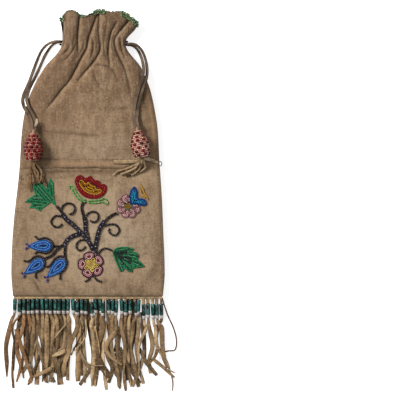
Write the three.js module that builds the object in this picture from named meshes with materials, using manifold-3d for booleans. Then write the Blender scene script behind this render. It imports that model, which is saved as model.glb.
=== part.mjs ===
import * as THREE from "three";
import { mergeVertices } from "three/addons/utils/BufferGeometryUtils.js";
import Module from "manifold-3d";

// A drawstring tobacco bag of smoked hide, lying on its back with its mouth towards +Y.
// Sizes are in millimetres. Heights run up the bag from the bottom seam, rises from the middle seam.

// Hide and fit
const HIDE = 1.3;
const CLEARANCE = 0.3;

// Outline of the four panels
const BASE_WIDTH = 171;
const HIP_WIDTH = 175;
const HIP_HEIGHT = 27;
const LOWER_HEIGHT = 146;
const MIDDLE_WIDTH = 160;
const UPPER_HEIGHT = 178;
const CHEST_RISE = 50;
const CHEST_WIDTH = 153;
const SHOULDER_RISE = 86;
const SHOULDER_WIDTH = 136.5;
const ARCH_RISE = 114;
const ARCH_WIDTH = 110;
const NECK_RISE = 139;
const NECK_WIDTH = 73.5;
const RIM_WIDTH = 89;
const NECK_LEAN = 6.5;
const RIM_LEAN = 12.5;

// How far the two sides stand apart, and the gathers at the neck
const POUCH_LOFT = 8.5;
const NECK_LOFT = 5;
const MOUTH_LOFT = 9;
const BOTTOM_ROLL = 16;
const FLAT_SHARE = 0.8;
const FRONT_PLEAT = 8;
const BACK_PLEAT = 5.5;
const MOUTH_PLEAT = 3;
const PLEAT_FOOT_RISE = 55;

// Valleys between the gathers: share of the half width at the rim, the neck and the foot
const FRONT_VALLEYS = [
  [-1, -1, -1],
  [-0.5, -0.46, -0.82],
  [-0.06, -0.15, -0.66],
  [0.05, 0.18, -0.2],
  [0.43, 0.46, 0.3],
  [0.7, 0.64, 0.64],
  [1, 1, 1],
];
const BACK_VALLEYS = [
  [-1, -1, -1],
  [-0.4, -0.52, -0.76],
  [-0.1, -0.09, -0.1],
  [0.1, 0.24, 0.5],
  [0.5, 0.6, 0.75],
  [1, 1, 1],
];

// Wavy rim: height over the nominal rim at shares of the half width
const FRONT_RIM = [[-1, -5], [-0.75, 0.5], [-0.4, -5.5], [-0.05, 1.7], [0.3, 0.5], [0.65, -1], [1, -12.5]];
const BACK_RIM = [[-1, -4], [-0.7, -1], [-0.45, 0.5], [-0.1, 1], [0.1, -4], [0.45, 1], [0.75, -1], [1, -12]];
const RIM_BEAD = 2;

// Drawstrings: a thong, the knob on its ends and the tassel below the knob
const THONG = 2.2;
const THONG_PITCH = 3.2;
const THONG_RISE = 142;
const EXIT_REACH = 1.5;
const KNOB_DIAMETER = 20;
const KNOB_LENGTH = 29;
const KNOB_COLLAR = 7.6;
const LEFT_KNOB = { x: -60.8, y: 168, turn: 0 };
const RIGHT_KNOB = { x: 60.3, y: 171.6, turn: 12 };
const TASSEL_WIDTH = 3;
const TASSEL_STRIP = 1.2;
const TASSEL_COLLAR = 5;

// Free thongs, as routes of hand-laid points from the neck to the knob
const LEFT_OUTER_ROUTE = [
  [-31.8, 289.6, 16.4], [-37, 289.4, 15.4], [-43, 287.8, 12.4], [-48.8, 284.4, 8.4], [-53.6, 279, 4.6],
  [-57.2, 272.3, 2.2], [-60.2, 265.2, 1.3], [-62.8, 258, 1.3], [-65.4, 250.8, 1.3], [-68, 243.6, 1.5],
  [-70.8, 236.6, 2.8], [-73.2, 229.8, 6], [-74.2, 222.8, 10], [-72.6, 215.8, 13.4], [-68.4, 209, 14.8],
  [-64.6, 202, 15.2], [-62.6, 195.6, 17], [-62, 189.6, 20.4], [-62.3, 183.8, 23.1],
];
const LEFT_INNER_ROUTE = [
  [-31.8, 289.6, 3.4], [-36.2, 289.2, 3], [-40.8, 286.8, 2], [-45, 282.2, 1.4], [-48.8, 276, 1.3],
  [-52.2, 269.4, 1.3], [-55.2, 262.4, 1.3], [-58.2, 255.4, 1.5], [-61.4, 248.4, 2.4], [-64.6, 241.6, 5],
  [-67.4, 235, 8.6], [-69.2, 228, 11.8], [-68.8, 220.8, 13.6], [-66, 213.6, 14.8], [-62.2, 206.6, 15.2],
  [-59.6, 199.6, 15.8], [-58.8, 193.4, 18], [-58.8, 188.4, 20.8], [-59.3, 183.8, 23.1],
];
const RIGHT_OUTER_ROUTE = [
  [44.8, 286.4, 16.4], [50, 286.8, 15.2], [55.4, 285.4, 11.8], [60, 281.6, 7.8], [63.4, 276, 4.6],
  [65.6, 269.4, 3], [66.9, 262.6, 4.2], [67.4, 255.8, 7.6], [66.9, 249.2, 11.6], [65.2, 242.8, 15],
  [62.9, 236.4, 16.6], [60.8, 229.6, 16.6], [59, 222.8, 16], [57.6, 216, 15.4], [56.6, 209.2, 15.2],
  [56.2, 202.8, 16], [56.8, 197, 18.4], [57.9, 191.9, 21.2], [58.8, 187.3, 23.1],
];
const RIGHT_INNER_ROUTE = [
  [44.8, 286.4, 3.4], [49.2, 286.1, 2.8], [53.4, 284, 1.6], [57, 280, 1.4], [59.8, 274.4, 1.8],
  [61.8, 268.2, 4], [63.2, 261.8, 8], [63.6, 255.4, 12.2], [62.6, 249, 15.4], [60.6, 242.4, 17.6],
  [58.4, 236, 18.2], [56.5, 229.2, 17.6], [55, 222.4, 16.6], [53.8, 215.6, 15.8], [53, 208.8, 15.4],
  [52.8, 202.4, 16], [53.6, 196.6, 18.4], [54.8, 191.4, 21.2], [55.7, 186.7, 23.1],
];

// Tassel strips lying on the bag, as points from the knob to the tip
const LEFT_TASSEL_STRIPS = [
  [[-63, 146, 18.5], [-65.5, 137, 16.2], [-67.5, 121, 15.5]],
  [[-61.5, 145, 18], [-62.8, 136, 15.9], [-63.2, 127, 15.5]],
  [[-60.2, 145, 19], [-58.8, 138, 16.4], [-58, 132, 15.5]],
  [[-58.6, 146, 18.5], [-55.4, 137, 16.2], [-53.6, 126, 15.5]],
  [[-57.6, 147, 19.5], [-51, 137, 16.6], [-46, 124.5, 15.5]],
];
const RIGHT_TASSEL_STRIPS = [
  [[56, 153, 17.6], [44, 152.4, 14.4], [29.7, 152.6, 13.9]],
  [[56.4, 150, 18], [44, 143, 14.6], [29.2, 136.5, 13.9]],
  [[58.6, 148.6, 18], [49, 142.4, 14.8], [38.5, 138.6, 13.9]],
  [[61.4, 148.6, 18], [57.4, 142, 15], [55.8, 136, 13.9]],
  [[64.2, 150, 18], [64.8, 145.4, 15], [63.2, 140.6, 13.9]],
  [[69, 155.2, 17], [75, 154.6, 14.2], [79, 152.4, 13]],
];

// Fringe sewn into the bottom seam: each strip's sway at two places and its tip, then its length
const HEADER_DEPTH = 11;
const HEADER_TUCK = 6;
const FRINGE_WIDTH = 5.4;
const FRINGE_STRIP = 1.1;
const FRINGE_NECK = 2;
const FRINGE_MARGIN = 2;
const SLEEVE_DIAMETER = 3.5;
const SLEEVE_LENGTH = 12.5;
const SLEEVE_DROP = 5.5;
const LOOSE_SLEEVES_FROM = 23;
const WHITE_BEAD_DIAMETER = 4;
const WHITE_BEAD_LENGTH = 3.6;
const FIRST_SWAY_AT = 36;
const SECOND_SWAY_AT = 58;
const FRINGE_LAYER = 1.1;
const FRINGE_RUNS = [
  [-6, -6, -8, 93], [-6, -6, -6, 104], [-2, -5, -5, 97], [-1, -5, -8, 95], [-2, -2, -2, 92],
  [-3, -5, -2, 102], [-1, -1, 0, 99], [-1, -1, -2, 100], [1, 1, 9, 102], [1, 1, -6, 99], [0, 1, -2, 95],
  [1, -1, -12, 68], [0, 0, -7, 93], [6, 7, 5, 98], [-1, -8, -10, 97], [0, 1, 4, 100],
  [-2, -13, -17, 68], [2, 3, 1, 104], [0, 3, 1, 104], [4, -3, -5, 103], [2, -1, 4, 108], [8, 0, 14, 81],
  [0, -1, 7, 105], [0, 0, 5, 107], [1, 4, 7, 109], [0, 2, 8, 104], [0, -1, 1, 104], [0, -2, 6, 105],
  [1, 0, 0, 92], [5, -2, 1, 101], [4, 7, 5, 89], [6, 8, 23, 91], [8, 9, 12, 83], [14, 15, 12, 70],
];

// Beadwork: thickness of the beads and widths of the stems
const BEAD = 1.4;
const STEM = 4.6;
const TENDRIL = 1.8;
const SEPAL = 3;
const ROSE_SEPAL = 4;
const PETAL_NOTCH = 0.45;
const RED_CENTRE_LENGTH = 21;
const RED_CENTRE_WIDTH = 11.2;
const PINK_FLOWER = 27.2;
const PINK_CENTRE = 7.2;
const UPPER_WING = 9;
const LOWER_WING = 8.5;
const WING_ROOT = 4.8;
const SMALL_FLOWER = 29.2;
const SMALL_CENTRE = 9.2;
const FRONT_BUD = 16;
const BACK_FLOWER = 51.2;
const BACK_CENTRE = 11.6;
const BUD_CAP = 9.6;
const BACK_BUD = 15;
const ROSE = 24;

// Materials
const SMOKED_HIDE = 0x957a5f;
const WORN_HIDE = 0x8a6f54;
const DARK_THONG = 0x54432f;
const GREEN_BEAD = 0x3f7d4c;
const DEEP_GREEN_BEAD = 0x2f6042;
const RED_BEAD = 0xa01b2c;
const GOLD_BEAD = 0xc79a35;
const PINK_BEAD = 0xb98a8e;
const BLUE_BEAD = 0x3f6f9e;
const NAVY_BEAD = 0x241d2c;
const MAROON_BEAD = 0x6e2330;

const wasm = await Module();
wasm.setup();

function solidOf(geometry) {
  const bare = new THREE.BufferGeometry();
  bare.setAttribute("position", geometry.getAttribute("position").clone());
  bare.setIndex(geometry.index);
  const merged = mergeVertices(bare, 1e-4);
  const vertProperties = new Float32Array(merged.getAttribute("position").array);
  const triVerts = new Uint32Array(merged.index.array);
  return new wasm.Manifold(new wasm.Mesh({ numProp: 3, vertProperties, triVerts }));
}

function geometryOf(solid) {
  const mesh = solid.getMesh();
  const geometry = new THREE.BufferGeometry();
  geometry.setAttribute("position", new THREE.BufferAttribute(mesh.vertProperties, 3));
  geometry.setIndex(new THREE.BufferAttribute(mesh.triVerts, 1));
  geometry.computeVertexNormals();
  return geometry;
}

function fused(geometries) {
  const solids = geometries.map(solidOf);
  return geometryOf(solids.reduce((whole, next) => whole.add(next)));
}

function cutAway(geometry, cutters) {
  const solids = cutters.map(solidOf);
  return geometryOf(solids.reduce((rest, cutter) => rest.subtract(cutter), solidOf(geometry)));
}

function addPiece(parent, name, geometry, color) {
  const material = new THREE.MeshStandardMaterial({ color, roughness: 0.8, metalness: 0 });
  const mesh = new THREE.Mesh(geometry, material);
  mesh.name = name;
  parent.add(mesh);
  return mesh;
}

// A smooth curve of a value over a position, through the given stations
function through(stations) {
  const slopes = stations.map((_, i) => {
    const before = stations[Math.max(i - 1, 0)];
    const after = stations[Math.min(i + 1, stations.length - 1)];
    return (after[1] - before[1]) / (after[0] - before[0]);
  });
  return (at) => {
    let i = 0;
    while (i < stations.length - 2 && at > stations[i + 1][0]) {
      i += 1;
    }
    const [start, from] = stations[i];
    const [end, to] = stations[i + 1];
    const run = end - start;
    const t = THREE.MathUtils.clamp((at - start) / run, 0, 1);
    const ease = t * t * (3 - 2 * t);
    const lead = slopes[i] * run * t * (1 - t) * (1 - t);
    const trail = slopes[i + 1] * run * t * t * (1 - t);
    return from + (to - from) * ease + lead - trail;
  };
}

// A value that eases from station to station and is level at each of them
function eased(stations) {
  return (at) => {
    let i = 0;
    while (i < stations.length - 2 && at > stations[i + 1][0]) {
      i += 1;
    }
    const share = THREE.MathUtils.smoothstep(at, stations[i][0], stations[i + 1][0]);
    return THREE.MathUtils.lerp(stations[i][1], stations[i + 1][1], share);
  };
}

// Outline and levels of the whole bag
const middleY = LOWER_HEIGHT;
const footY = LOWER_HEIGHT + PLEAT_FOOT_RISE;
const neckY = LOWER_HEIGHT + NECK_RISE;
const rimY = LOWER_HEIGHT + UPPER_HEIGHT;
const width = through([
  [0, BASE_WIDTH],
  [HIP_HEIGHT, HIP_WIDTH],
  [middleY, MIDDLE_WIDTH],
  [middleY + CHEST_RISE, CHEST_WIDTH],
  [middleY + SHOULDER_RISE, SHOULDER_WIDTH],
  [middleY + ARCH_RISE, ARCH_WIDTH],
  [neckY, NECK_WIDTH],
  [rimY, RIM_WIDTH],
]);
const lean = eased([[footY, 0], [neckY, NECK_LEAN], [rimY, RIM_LEAN]]);
const backFace = BEAD + CLEARANCE;
const frontFace = backFace + 2 * HIDE + POUCH_LOFT;
const pouchMiddle = (backFace + frontFace) / 2;
const neckMiddle = BACK_PLEAT + HIDE + NECK_LOFT / 2;
const middle = eased([[middleY, pouchMiddle], [neckY, neckMiddle]]);
const bottomGap = HIDE / 2 + CLEARANCE;
const sideGap = eased([[0, bottomGap], [BOTTOM_ROLL, CLEARANCE / 2]]);
const upperLoft = eased([[middleY, POUCH_LOFT / 2], [neckY, NECK_LOFT / 2], [rimY, MOUTH_LOFT / 2]]);

function halfLoft(y) {
  const left = Math.max(1 - y / BOTTOM_ROLL, 0);
  return y < middleY ? bottomGap + (POUCH_LOFT / 2 - bottomGap) * Math.sqrt(1 - left * left) : upperLoft(y);
}

// The panels stand flat over the middle of the bag and round off to the side seams
function swell(share) {
  const past = Math.max(Math.abs(share) - FLAT_SHARE, 0) / (1 - FLAT_SHARE);
  return Math.sqrt(Math.max(1 - past * past, 0));
}

function edgeX(side, y) {
  return lean(y) + (side * width(y)) / 2;
}

function hidePoint(side, share, y, rimLift, pleat) {
  const inner = sideGap(y) + swell(share) * (halfLoft(y) - sideGap(y) + pleat);
  const z = middle(y) + side * (inner + HIDE / 2);
  return new THREE.Vector3(lean(y) + (share * width(y)) / 2, y + rimLift, z);
}

// A sheet of hide as a closed solid: one row of points for each height, thick along z
function hideSheet(rows) {
  const across = rows[0].length;
  const positions = [];
  for (const lift of [HIDE / 2, -HIDE / 2]) {
    for (const point of rows.flat()) {
      positions.push(point.x, point.y, point.z + lift);
    }
  }
  const under = rows.length * across;
  const index = [];
  const quad = (a, b, c, d) => index.push(a, b, c, a, c, d);
  for (let j = 0; j + 1 < rows.length; j += 1) {
    for (let i = 0; i + 1 < across; i += 1) {
      const corner = j * across + i;
      const above = corner + across;
      quad(corner, corner + 1, above + 1, above);
      quad(under + above, under + above + 1, under + corner + 1, under + corner);
    }
    const left = j * across;
    const right = left + across - 1;
    quad(left, left + across, under + left + across, under + left);
    quad(right + across, right, under + right, under + right + across);
  }
  const last = under - across;
  for (let i = 0; i + 1 < across; i += 1) {
    quad(i + 1, i, under + i, under + i + 1);
    quad(last + i, last + i + 1, under + last + i + 1, under + last + i);
  }
  const geometry = new THREE.BufferGeometry();
  geometry.setAttribute("position", new THREE.Float32BufferAttribute(positions, 3));
  geometry.setIndex(index);
  geometry.computeVertexNormals();
  return geometry;
}

// Lower panels, rounded in to the side seams and the bottom seam
function lowerPanel(side) {
  const shares = [-1, -0.975, -0.93, -0.87, -FLAT_SHARE, FLAT_SHARE, 0.87, 0.93, 0.975, 1];
  const rolled = [0, 0.05, 0.15, 0.35, 0.65, 1].map((part) => part * BOTTOM_ROLL);
  const level = [0.3, 0.5, 0.75, 1].map((part) => part * LOWER_HEIGHT);
  const heights = [...rolled, ...level];
  return hideSheet(heights.map((y) => shares.map((share) => hidePoint(side, share, y, 0, 0))));
}

// Upper panels, gathered at the neck into folds that run out on the shoulders and flare at the rim
function gatheredRow(side, y, valleys, rim, pleat) {
  const shares = valleys.map(([atRim, atNeck, atFoot]) => (
    eased([[footY, atFoot], [neckY, atNeck], [rimY, atRim]])(y)
  ));
  const flare = THREE.MathUtils.smoothstep(y, neckY, rimY);
  const row = [];
  for (let fold = 0; fold + 1 < shares.length; fold += 1) {
    const atEdge = fold === 0 || fold + 2 === shares.length;
    const steps = atEdge ? 5 : 4;
    for (let step = 0; step < steps; step += 1) {
      const crossed = step / steps;
      const share = THREE.MathUtils.lerp(shares[fold], shares[fold + 1], crossed);
      const height = pleat(y) * Math.sin(Math.PI * crossed) ** 2;
      row.push(hidePoint(side, share, y, flare * rim(share), height));
    }
  }
  row.push(hidePoint(side, 1, y, flare * rim(1), 0));
  return row;
}

const frontPleat = eased([[footY, 0], [neckY, FRONT_PLEAT], [rimY, MOUTH_PLEAT]]);
const backPleat = eased([[footY, 0], [neckY, BACK_PLEAT], [rimY, MOUTH_PLEAT]]);
const upperHeights = [
  ...[0, 0.5, 1].map((part) => THREE.MathUtils.lerp(middleY + CLEARANCE, footY, part)),
  ...[0.25, 0.5, 0.7, 0.86, 1].map((part) => THREE.MathUtils.lerp(footY, neckY, part)),
  ...[0.25, 0.5, 0.75, 1].map((part) => THREE.MathUtils.lerp(neckY, rimY, part)),
];

function gatheredRows(side) {
  const valleys = side > 0 ? FRONT_VALLEYS : BACK_VALLEYS;
  const rim = through(side > 0 ? FRONT_RIM : BACK_RIM);
  const pleat = side > 0 ? frontPleat : backPleat;
  return upperHeights.map((y) => gatheredRow(side, y, valleys, rim, pleat));
}

// Each drawstring threads the gathers half way up their depth, through slits in the hide
const thongY = middleY + THONG_RISE;
const leftThongY = thongY + THONG_PITCH / 2;
const rightThongY = thongY - THONG_PITCH / 2;

function thongZ(side) {
  const pleat = side > 0 ? FRONT_PLEAT : BACK_PLEAT;
  return neckMiddle + side * (NECK_LOFT / 2 + HIDE / 2 + pleat / 2);
}

function slits(side) {
  const reach = NECK_WIDTH + 4 * THONG;
  const slot = new THREE.BoxGeometry(reach, THONG_PITCH + THONG + 2 * CLEARANCE, THONG + 4 * CLEARANCE);
  slot.translate(lean(thongY), thongY, thongZ(side));
  return slot;
}

// A round section swept along a smooth route
function swept(points, diameter, sides, steps) {
  const section = new THREE.Shape();
  for (let i = 0; i < sides; i += 1) {
    const angle = (2 * Math.PI * i) / sides;
    const x = (diameter / 2) * Math.cos(angle);
    const y = (diameter / 2) * Math.sin(angle);
    if (i === 0) {
      section.moveTo(x, y);
    } else {
      section.lineTo(x, y);
    }
  }
  const extrudePath = new THREE.CatmullRomCurve3(points);
  return new THREE.ExtrudeGeometry(section, { steps, extrudePath, bevelEnabled: false });
}

function routed(route) {
  const steps = 2 * (route.length - 1);
  return swept(route.map((point) => new THREE.Vector3(...point)), THONG, 6, steps);
}

// The part of a drawstring inside the neck: across the front, round the far seam and back
function neckLoop(exitSide, y) {
  const exit = edgeX(exitSide, y) + exitSide * (EXIT_REACH - CLEARANCE);
  const far = edgeX(-exitSide, y);
  const turn = far - exitSide * (THONG / 2 + 4 * CLEARANCE);
  const front = thongZ(1);
  const back = thongZ(-1);
  const inside = [0, 1 / 3, 2 / 3, 0.94, 1].map((part) => THREE.MathUtils.lerp(exit, far, part));
  const across = inside.map((x) => new THREE.Vector3(x, y, front));
  const round = [0.25, 0.5, 0.75].map((part) => (
    new THREE.Vector3(turn, y, THREE.MathUtils.lerp(front, back, part))
  ));
  const home = inside.map((x) => new THREE.Vector3(x, y, back)).reverse();
  return swept([...across, ...round, ...home], THONG, 6, 28);
}

// Knob: a spindle of rolled hide, cord end up the local y axis
function knob() {
  const end = KNOB_LENGTH / 2;
  const radius = KNOB_DIAMETER / 2;
  const collar = KNOB_COLLAR / 2;
  const profile = [
    [0, -end], [collar, -end], [0.78 * radius, -0.78 * end], [radius, -0.3 * end], [radius, 0.15 * end],
    [0.8 * radius, 0.58 * end], [collar, 0.86 * end], [collar, end], [0, end],
  ];
  return new THREE.LatheGeometry(profile.map(([r, y]) => new THREE.Vector2(r, y)), 14);
}

const knobZ = frontFace + CLEARANCE + KNOB_DIAMETER / 2;

function placeKnob(parent, name, place) {
  const mesh = addPiece(parent, name, knob(), 0xa17f6c);
  mesh.position.set(place.x, place.y, knobZ);
  mesh.rotation.z = THREE.MathUtils.degToRad(place.turn);
}

// A flat strip of hide through the given points, with its own width and thickness at each
function strip(points, widths, heights) {
  const positions = [];
  points.forEach((point, i) => {
    const before = points[Math.max(i - 1, 0)];
    const after = points[Math.min(i + 1, points.length - 1)];
    const run = new THREE.Vector2(after.x - before.x, after.y - before.y).normalize();
    const side = new THREE.Vector2(run.y, -run.x).multiplyScalar(widths[i] / 2);
    for (const [across, up] of [[1, 1], [-1, 1], [-1, -1], [1, -1]]) {
      positions.push(point.x + across * side.x, point.y + across * side.y, point.z + (up * heights[i]) / 2);
    }
  });
  const index = [0, 1, 2, 0, 2, 3];
  for (let i = 0; i + 1 < points.length; i += 1) {
    for (let corner = 0; corner < 4; corner += 1) {
      const a = 4 * i + corner;
      const b = 4 * i + ((corner + 1) % 4);
      index.push(a, a + 4, b, b, a + 4, b + 4);
    }
  }
  const tip = 4 * (points.length - 1);
  index.push(tip, tip + 2, tip + 1, tip, tip + 3, tip + 2);
  const geometry = new THREE.BufferGeometry();
  geometry.setAttribute("position", new THREE.Float32BufferAttribute(positions, 3));
  geometry.setIndex(index);
  return geometry;
}

function tassel(place, runs) {
  const turn = THREE.MathUtils.degToRad(place.turn);
  const away = new THREE.Vector3(Math.sin(turn), -Math.cos(turn), 0);
  const top = new THREE.Vector3(place.x, place.y, knobZ).addScaledVector(away, KNOB_LENGTH / 2 + CLEARANCE);
  const root = top.clone().addScaledVector(away, TASSEL_COLLAR / 2);
  const collar = new THREE.CylinderGeometry(TASSEL_COLLAR / 2, TASSEL_COLLAR / 2, TASSEL_COLLAR, 8);
  collar.rotateZ(turn);
  collar.translate(root.x, root.y, root.z);
  const strips = runs.map((run) => {
    const points = [root, ...run.map((point) => new THREE.Vector3(...point))];
    const widths = points.map((_, i) => (i === 0 ? TASSEL_WIDTH / 2 : TASSEL_WIDTH));
    return strip(points, widths, points.map(() => TASSEL_STRIP));
  });
  return fused([collar, ...strips]);
}

// Fringe: a header sewn between the panels, cut into strips that carry a glass sleeve and a white bead
function beadOn(from, to, start, length, diameter) {
  const axis = to.clone().sub(from).normalize();
  const centre = from.clone().addScaledVector(axis, start + length / 2);
  const bead = new THREE.CylinderGeometry(diameter / 2, diameter / 2, length, 5);
  const turn = new THREE.Quaternion().setFromUnitVectors(new THREE.Vector3(0, 1, 0), axis);
  bead.applyQuaternion(turn);
  bead.translate(centre.x, centre.y, centre.z);
  return bead;
}

function fringe() {
  const span = BASE_WIDTH - 2 * FRINGE_MARGIN - FRINGE_WIDTH;
  const header = new THREE.BoxGeometry(BASE_WIDTH - 2 * FRINGE_MARGIN, HEADER_DEPTH, HIDE);
  const foot = HEADER_TUCK - HEADER_DEPTH;
  header.translate(0, HEADER_TUCK - HEADER_DEPTH / 2, pouchMiddle);
  const pieces = [header];
  const beadSpan = SLEEVE_LENGTH + WHITE_BEAD_LENGTH + 2 * CLEARANCE;
  FRINGE_RUNS.forEach(([first, second, last, length], i) => {
    const x = span * (i / (FRINGE_RUNS.length - 1) - 0.5);
    const rest = FRINGE_STRIP / 2 + FRINGE_LAYER * (i % 3);
    const slip = i >= LOOSE_SLEEVES_FROM ? SLEEVE_DROP : 0;
    const low = WHITE_BEAD_DIAMETER / 2;
    const root = new THREE.Vector3(x, foot + HIDE, pouchMiddle);
    const drop = new THREE.Vector3(x, foot - slip - beadSpan, low);
    const points = [
      root,
      drop,
      new THREE.Vector3(x + first, -FIRST_SWAY_AT, rest),
      new THREE.Vector3(x + second, -SECOND_SWAY_AT, rest),
      new THREE.Vector3(x + last, -length, FRINGE_STRIP / 2 + FRINGE_LAYER * ((i + 1) % 2)),
    ];
    const widths = [FRINGE_NECK, FRINGE_NECK, FRINGE_WIDTH, FRINGE_WIDTH, FRINGE_WIDTH - HIDE];
    pieces.push(strip(points, widths, points.map(() => FRINGE_STRIP)));
    const fall = root.distanceTo(drop);
    const beadStart = fall - beadSpan;
    pieces.push(beadOn(root, drop, beadStart, SLEEVE_LENGTH, SLEEVE_DIAMETER));
    const whiteStart = beadStart + SLEEVE_LENGTH + CLEARANCE;
    pieces.push(beadOn(root, drop, whiteStart, WHITE_BEAD_LENGTH, WHITE_BEAD_DIAMETER));
  });
  return fused(pieces);
}

// Beadwork is laid out in percent of the lower panel: across from its middle line, up from the bottom seam
function spot([across, up]) {
  return new THREE.Vector2((across * HIP_WIDTH) / 100, (up * LOWER_HEIGHT) / 100);
}

// A place that stays so many millimetres to the right of and above another
function beside([across, up], right, above) {
  return [across + (100 * right) / HIP_WIDTH, up + (100 * above) / LOWER_HEIGHT];
}

// A closed outline whose sides bow outwards by a share of their length
function bowed(places, bow) {
  const points = places.map(spot);
  const turn = Math.sign(THREE.ShapeUtils.area(points));
  const shape = new THREE.Shape();
  shape.moveTo(points[0].x, points[0].y);
  points.forEach((point, i) => {
    const next = points[(i + 1) % points.length];
    const run = next.clone().sub(point);
    const outward = new THREE.Vector2(run.y, -run.x).multiplyScalar(turn * bow);
    const control = point.clone().add(next).multiplyScalar(0.5).add(outward);
    shape.quadraticCurveTo(control.x, control.y, next.x, next.y);
  });
  return shape;
}

function rosette(place, diameter, petals, turn) {
  const centre = spot(place);
  const points = [];
  for (let i = 0; i < petals * 6; i += 1) {
    const angle = (2 * Math.PI * i) / (petals * 6);
    const open = Math.sqrt(Math.abs(Math.cos((petals * angle) / 2)));
    const r = (diameter / 2) * (PETAL_NOTCH + (1 - PETAL_NOTCH) * open);
    const at = angle + THREE.MathUtils.degToRad(turn);
    points.push(new THREE.Vector2(centre.x + r * Math.cos(at), centre.y + r * Math.sin(at)));
  }
  return new THREE.Shape(points);
}

function oval(place, length, girth, turn) {
  const centre = spot(place);
  const tilt = THREE.MathUtils.degToRad(turn);
  const shape = new THREE.Shape();
  shape.absellipse(centre.x, centre.y, length / 2, girth / 2, 0, 2 * Math.PI, false, tilt);
  return shape;
}

// A bud: round at its foot and drawn out to a point
function teardrop(footPlace, tipPlace, girth) {
  const foot = spot(footPlace);
  const along = spot(tipPlace).sub(foot);
  const across = new THREE.Vector2(-along.y, along.x).normalize();
  const right = [];
  const left = [];
  for (let i = 0; i <= 7; i += 1) {
    const t = (i / 7) ** 2;
    const half = (girth / 2) * 2.6 * Math.sqrt(t) * (1 - t);
    const point = foot.clone().addScaledVector(along, t);
    right.push(point.clone().addScaledVector(across, -half));
    left.unshift(point.clone().addScaledVector(across, half));
  }
  return new THREE.Shape([...right, ...left.slice(1, -1)]);
}

// A sewn line of beads of one width along a curve
function band(places, girth) {
  const line = new THREE.SplineCurve(places.map(spot));
  const count = 2 * places.length - 1;
  const right = [];
  const left = [];
  for (let i = 0; i <= count; i += 1) {
    const point = line.getPoint(i / count);
    const run = line.getTangent(i / count);
    const across = new THREE.Vector2(-run.y, run.x).multiplyScalar(girth / 2);
    right.push(point.clone().sub(across));
    left.unshift(point.clone().add(across));
  }
  return new THREE.Shape([...right, ...left]);
}

function beaded(shape) {
  return new THREE.ExtrudeGeometry(shape, { depth: BEAD, bevelEnabled: false, curveSegments: 4 });
}

// Room for a motif in what lies next to it: its outline grown by the clearance, through all the beads
function room(shape) {
  const points = shape.getPoints(4);
  if (points[0].distanceTo(points[points.length - 1]) < CLEARANCE / 10) {
    points.pop();
  }
  const turn = Math.sign(THREE.ShapeUtils.area(points));
  const grown = points.map((point, i) => {
    const before = points[(i + points.length - 1) % points.length];
    const after = points[(i + 1) % points.length];
    const run = after.clone().sub(before).normalize();
    return point.clone().add(new THREE.Vector2(run.y, -run.x).multiplyScalar(turn * 1.5 * CLEARANCE));
  });
  const depth = 3 * BEAD;
  const geometry = new THREE.ExtrudeGeometry(new THREE.Shape(grown), { depth, bevelEnabled: false });
  geometry.translate(0, 0, -BEAD);
  return geometry;
}

function ringed(outer, inner) {
  return cutAway(beaded(outer), [room(inner)]);
}

function bud(body, hooks) {
  return fused([beaded(body), ...hooks.map((hook) => beaded(band(hook, TENDRIL)))]);
}

const bag = new THREE.Group();
const body = new THREE.Group();
const cords = new THREE.Group();
bag.add(body, cords);

// Hide panels
addPiece(body, "lower_front_panel", lowerPanel(1), SMOKED_HIDE);
addPiece(body, "lower_back_panel", lowerPanel(-1), SMOKED_HIDE);
for (const [name, side] of [["upper_front_panel", 1], ["upper_back_panel", -1]]) {
  addPiece(body, name, cutAway(hideSheet(gatheredRows(side)), [slits(side)]), WORN_HIDE);
}

// Seed beads sewn round the two edges of the mouth
for (const [name, side] of [["front_rim_edging", 1], ["back_rim_edging", -1]]) {
  const rim = gatheredRows(side).at(-1);
  const edge = rim.map((point) => point.clone().add(new THREE.Vector3(0, RIM_BEAD / 2 + 2 * CLEARANCE, 0)));
  addPiece(body, name, swept(edge, RIM_BEAD, 6, edge.length - 1), GREEN_BEAD);
}

addPiece(body, "fringe", fringe(), SMOKED_HIDE);

// Drawstrings with their knobs and tassels
addPiece(body, "left_drawstring_loop", neckLoop(-1, leftThongY), DARK_THONG);
addPiece(body, "right_drawstring_loop", neckLoop(1, rightThongY), DARK_THONG);
addPiece(cords, "left_outer_thong", routed(LEFT_OUTER_ROUTE), DARK_THONG);
addPiece(cords, "left_inner_thong", routed(LEFT_INNER_ROUTE), DARK_THONG);
addPiece(cords, "right_outer_thong", routed(RIGHT_OUTER_ROUTE), DARK_THONG);
addPiece(cords, "right_inner_thong", routed(RIGHT_INNER_ROUTE), DARK_THONG);
placeKnob(cords, "left_knob", LEFT_KNOB);
placeKnob(cords, "right_knob", RIGHT_KNOB);
addPiece(cords, "left_tassel", tassel(LEFT_KNOB, LEFT_TASSEL_STRIPS), WORN_HIDE);
addPiece(cords, "right_tassel", tassel(RIGHT_KNOB, RIGHT_TASSEL_STRIPS), WORN_HIDE);

// Beadwork on the front
const front = new THREE.Group();
front.position.z = frontFace + CLEARANCE;
body.add(front);

const upperLeaf = bowed([
  [-20.1, 69.8], [-22.3, 82.3], [-24, 92.3], [-27.6, 84.3], [-33.8, 88.5], [-35.7, 80], [-41.6, 73.7],
  [-37, 69.4], [-31.2, 65.5], [-25.3, 69.4],
], 0.08);
addPiece(front, "front_upper_leaf", beaded(upperLeaf), GREEN_BEAD);

const redFlower = bowed([
  [-8.1, 87.8], [-2, 92.4], [4, 91.3], [8.8, 88.3], [12.1, 84.3], [11.1, 79.2], [4.6, 75.9], [-2.5, 77.6],
  [-7.1, 81.5],
], 0.14);
const redCentre = oval([1.9, 84.2], RED_CENTRE_LENGTH, RED_CENTRE_WIDTH, -28);
addPiece(front, "front_red_flower", ringed(redFlower, redCentre), RED_BEAD);
addPiece(front, "front_red_flower_centre", beaded(redCentre), GOLD_BEAD);

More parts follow.
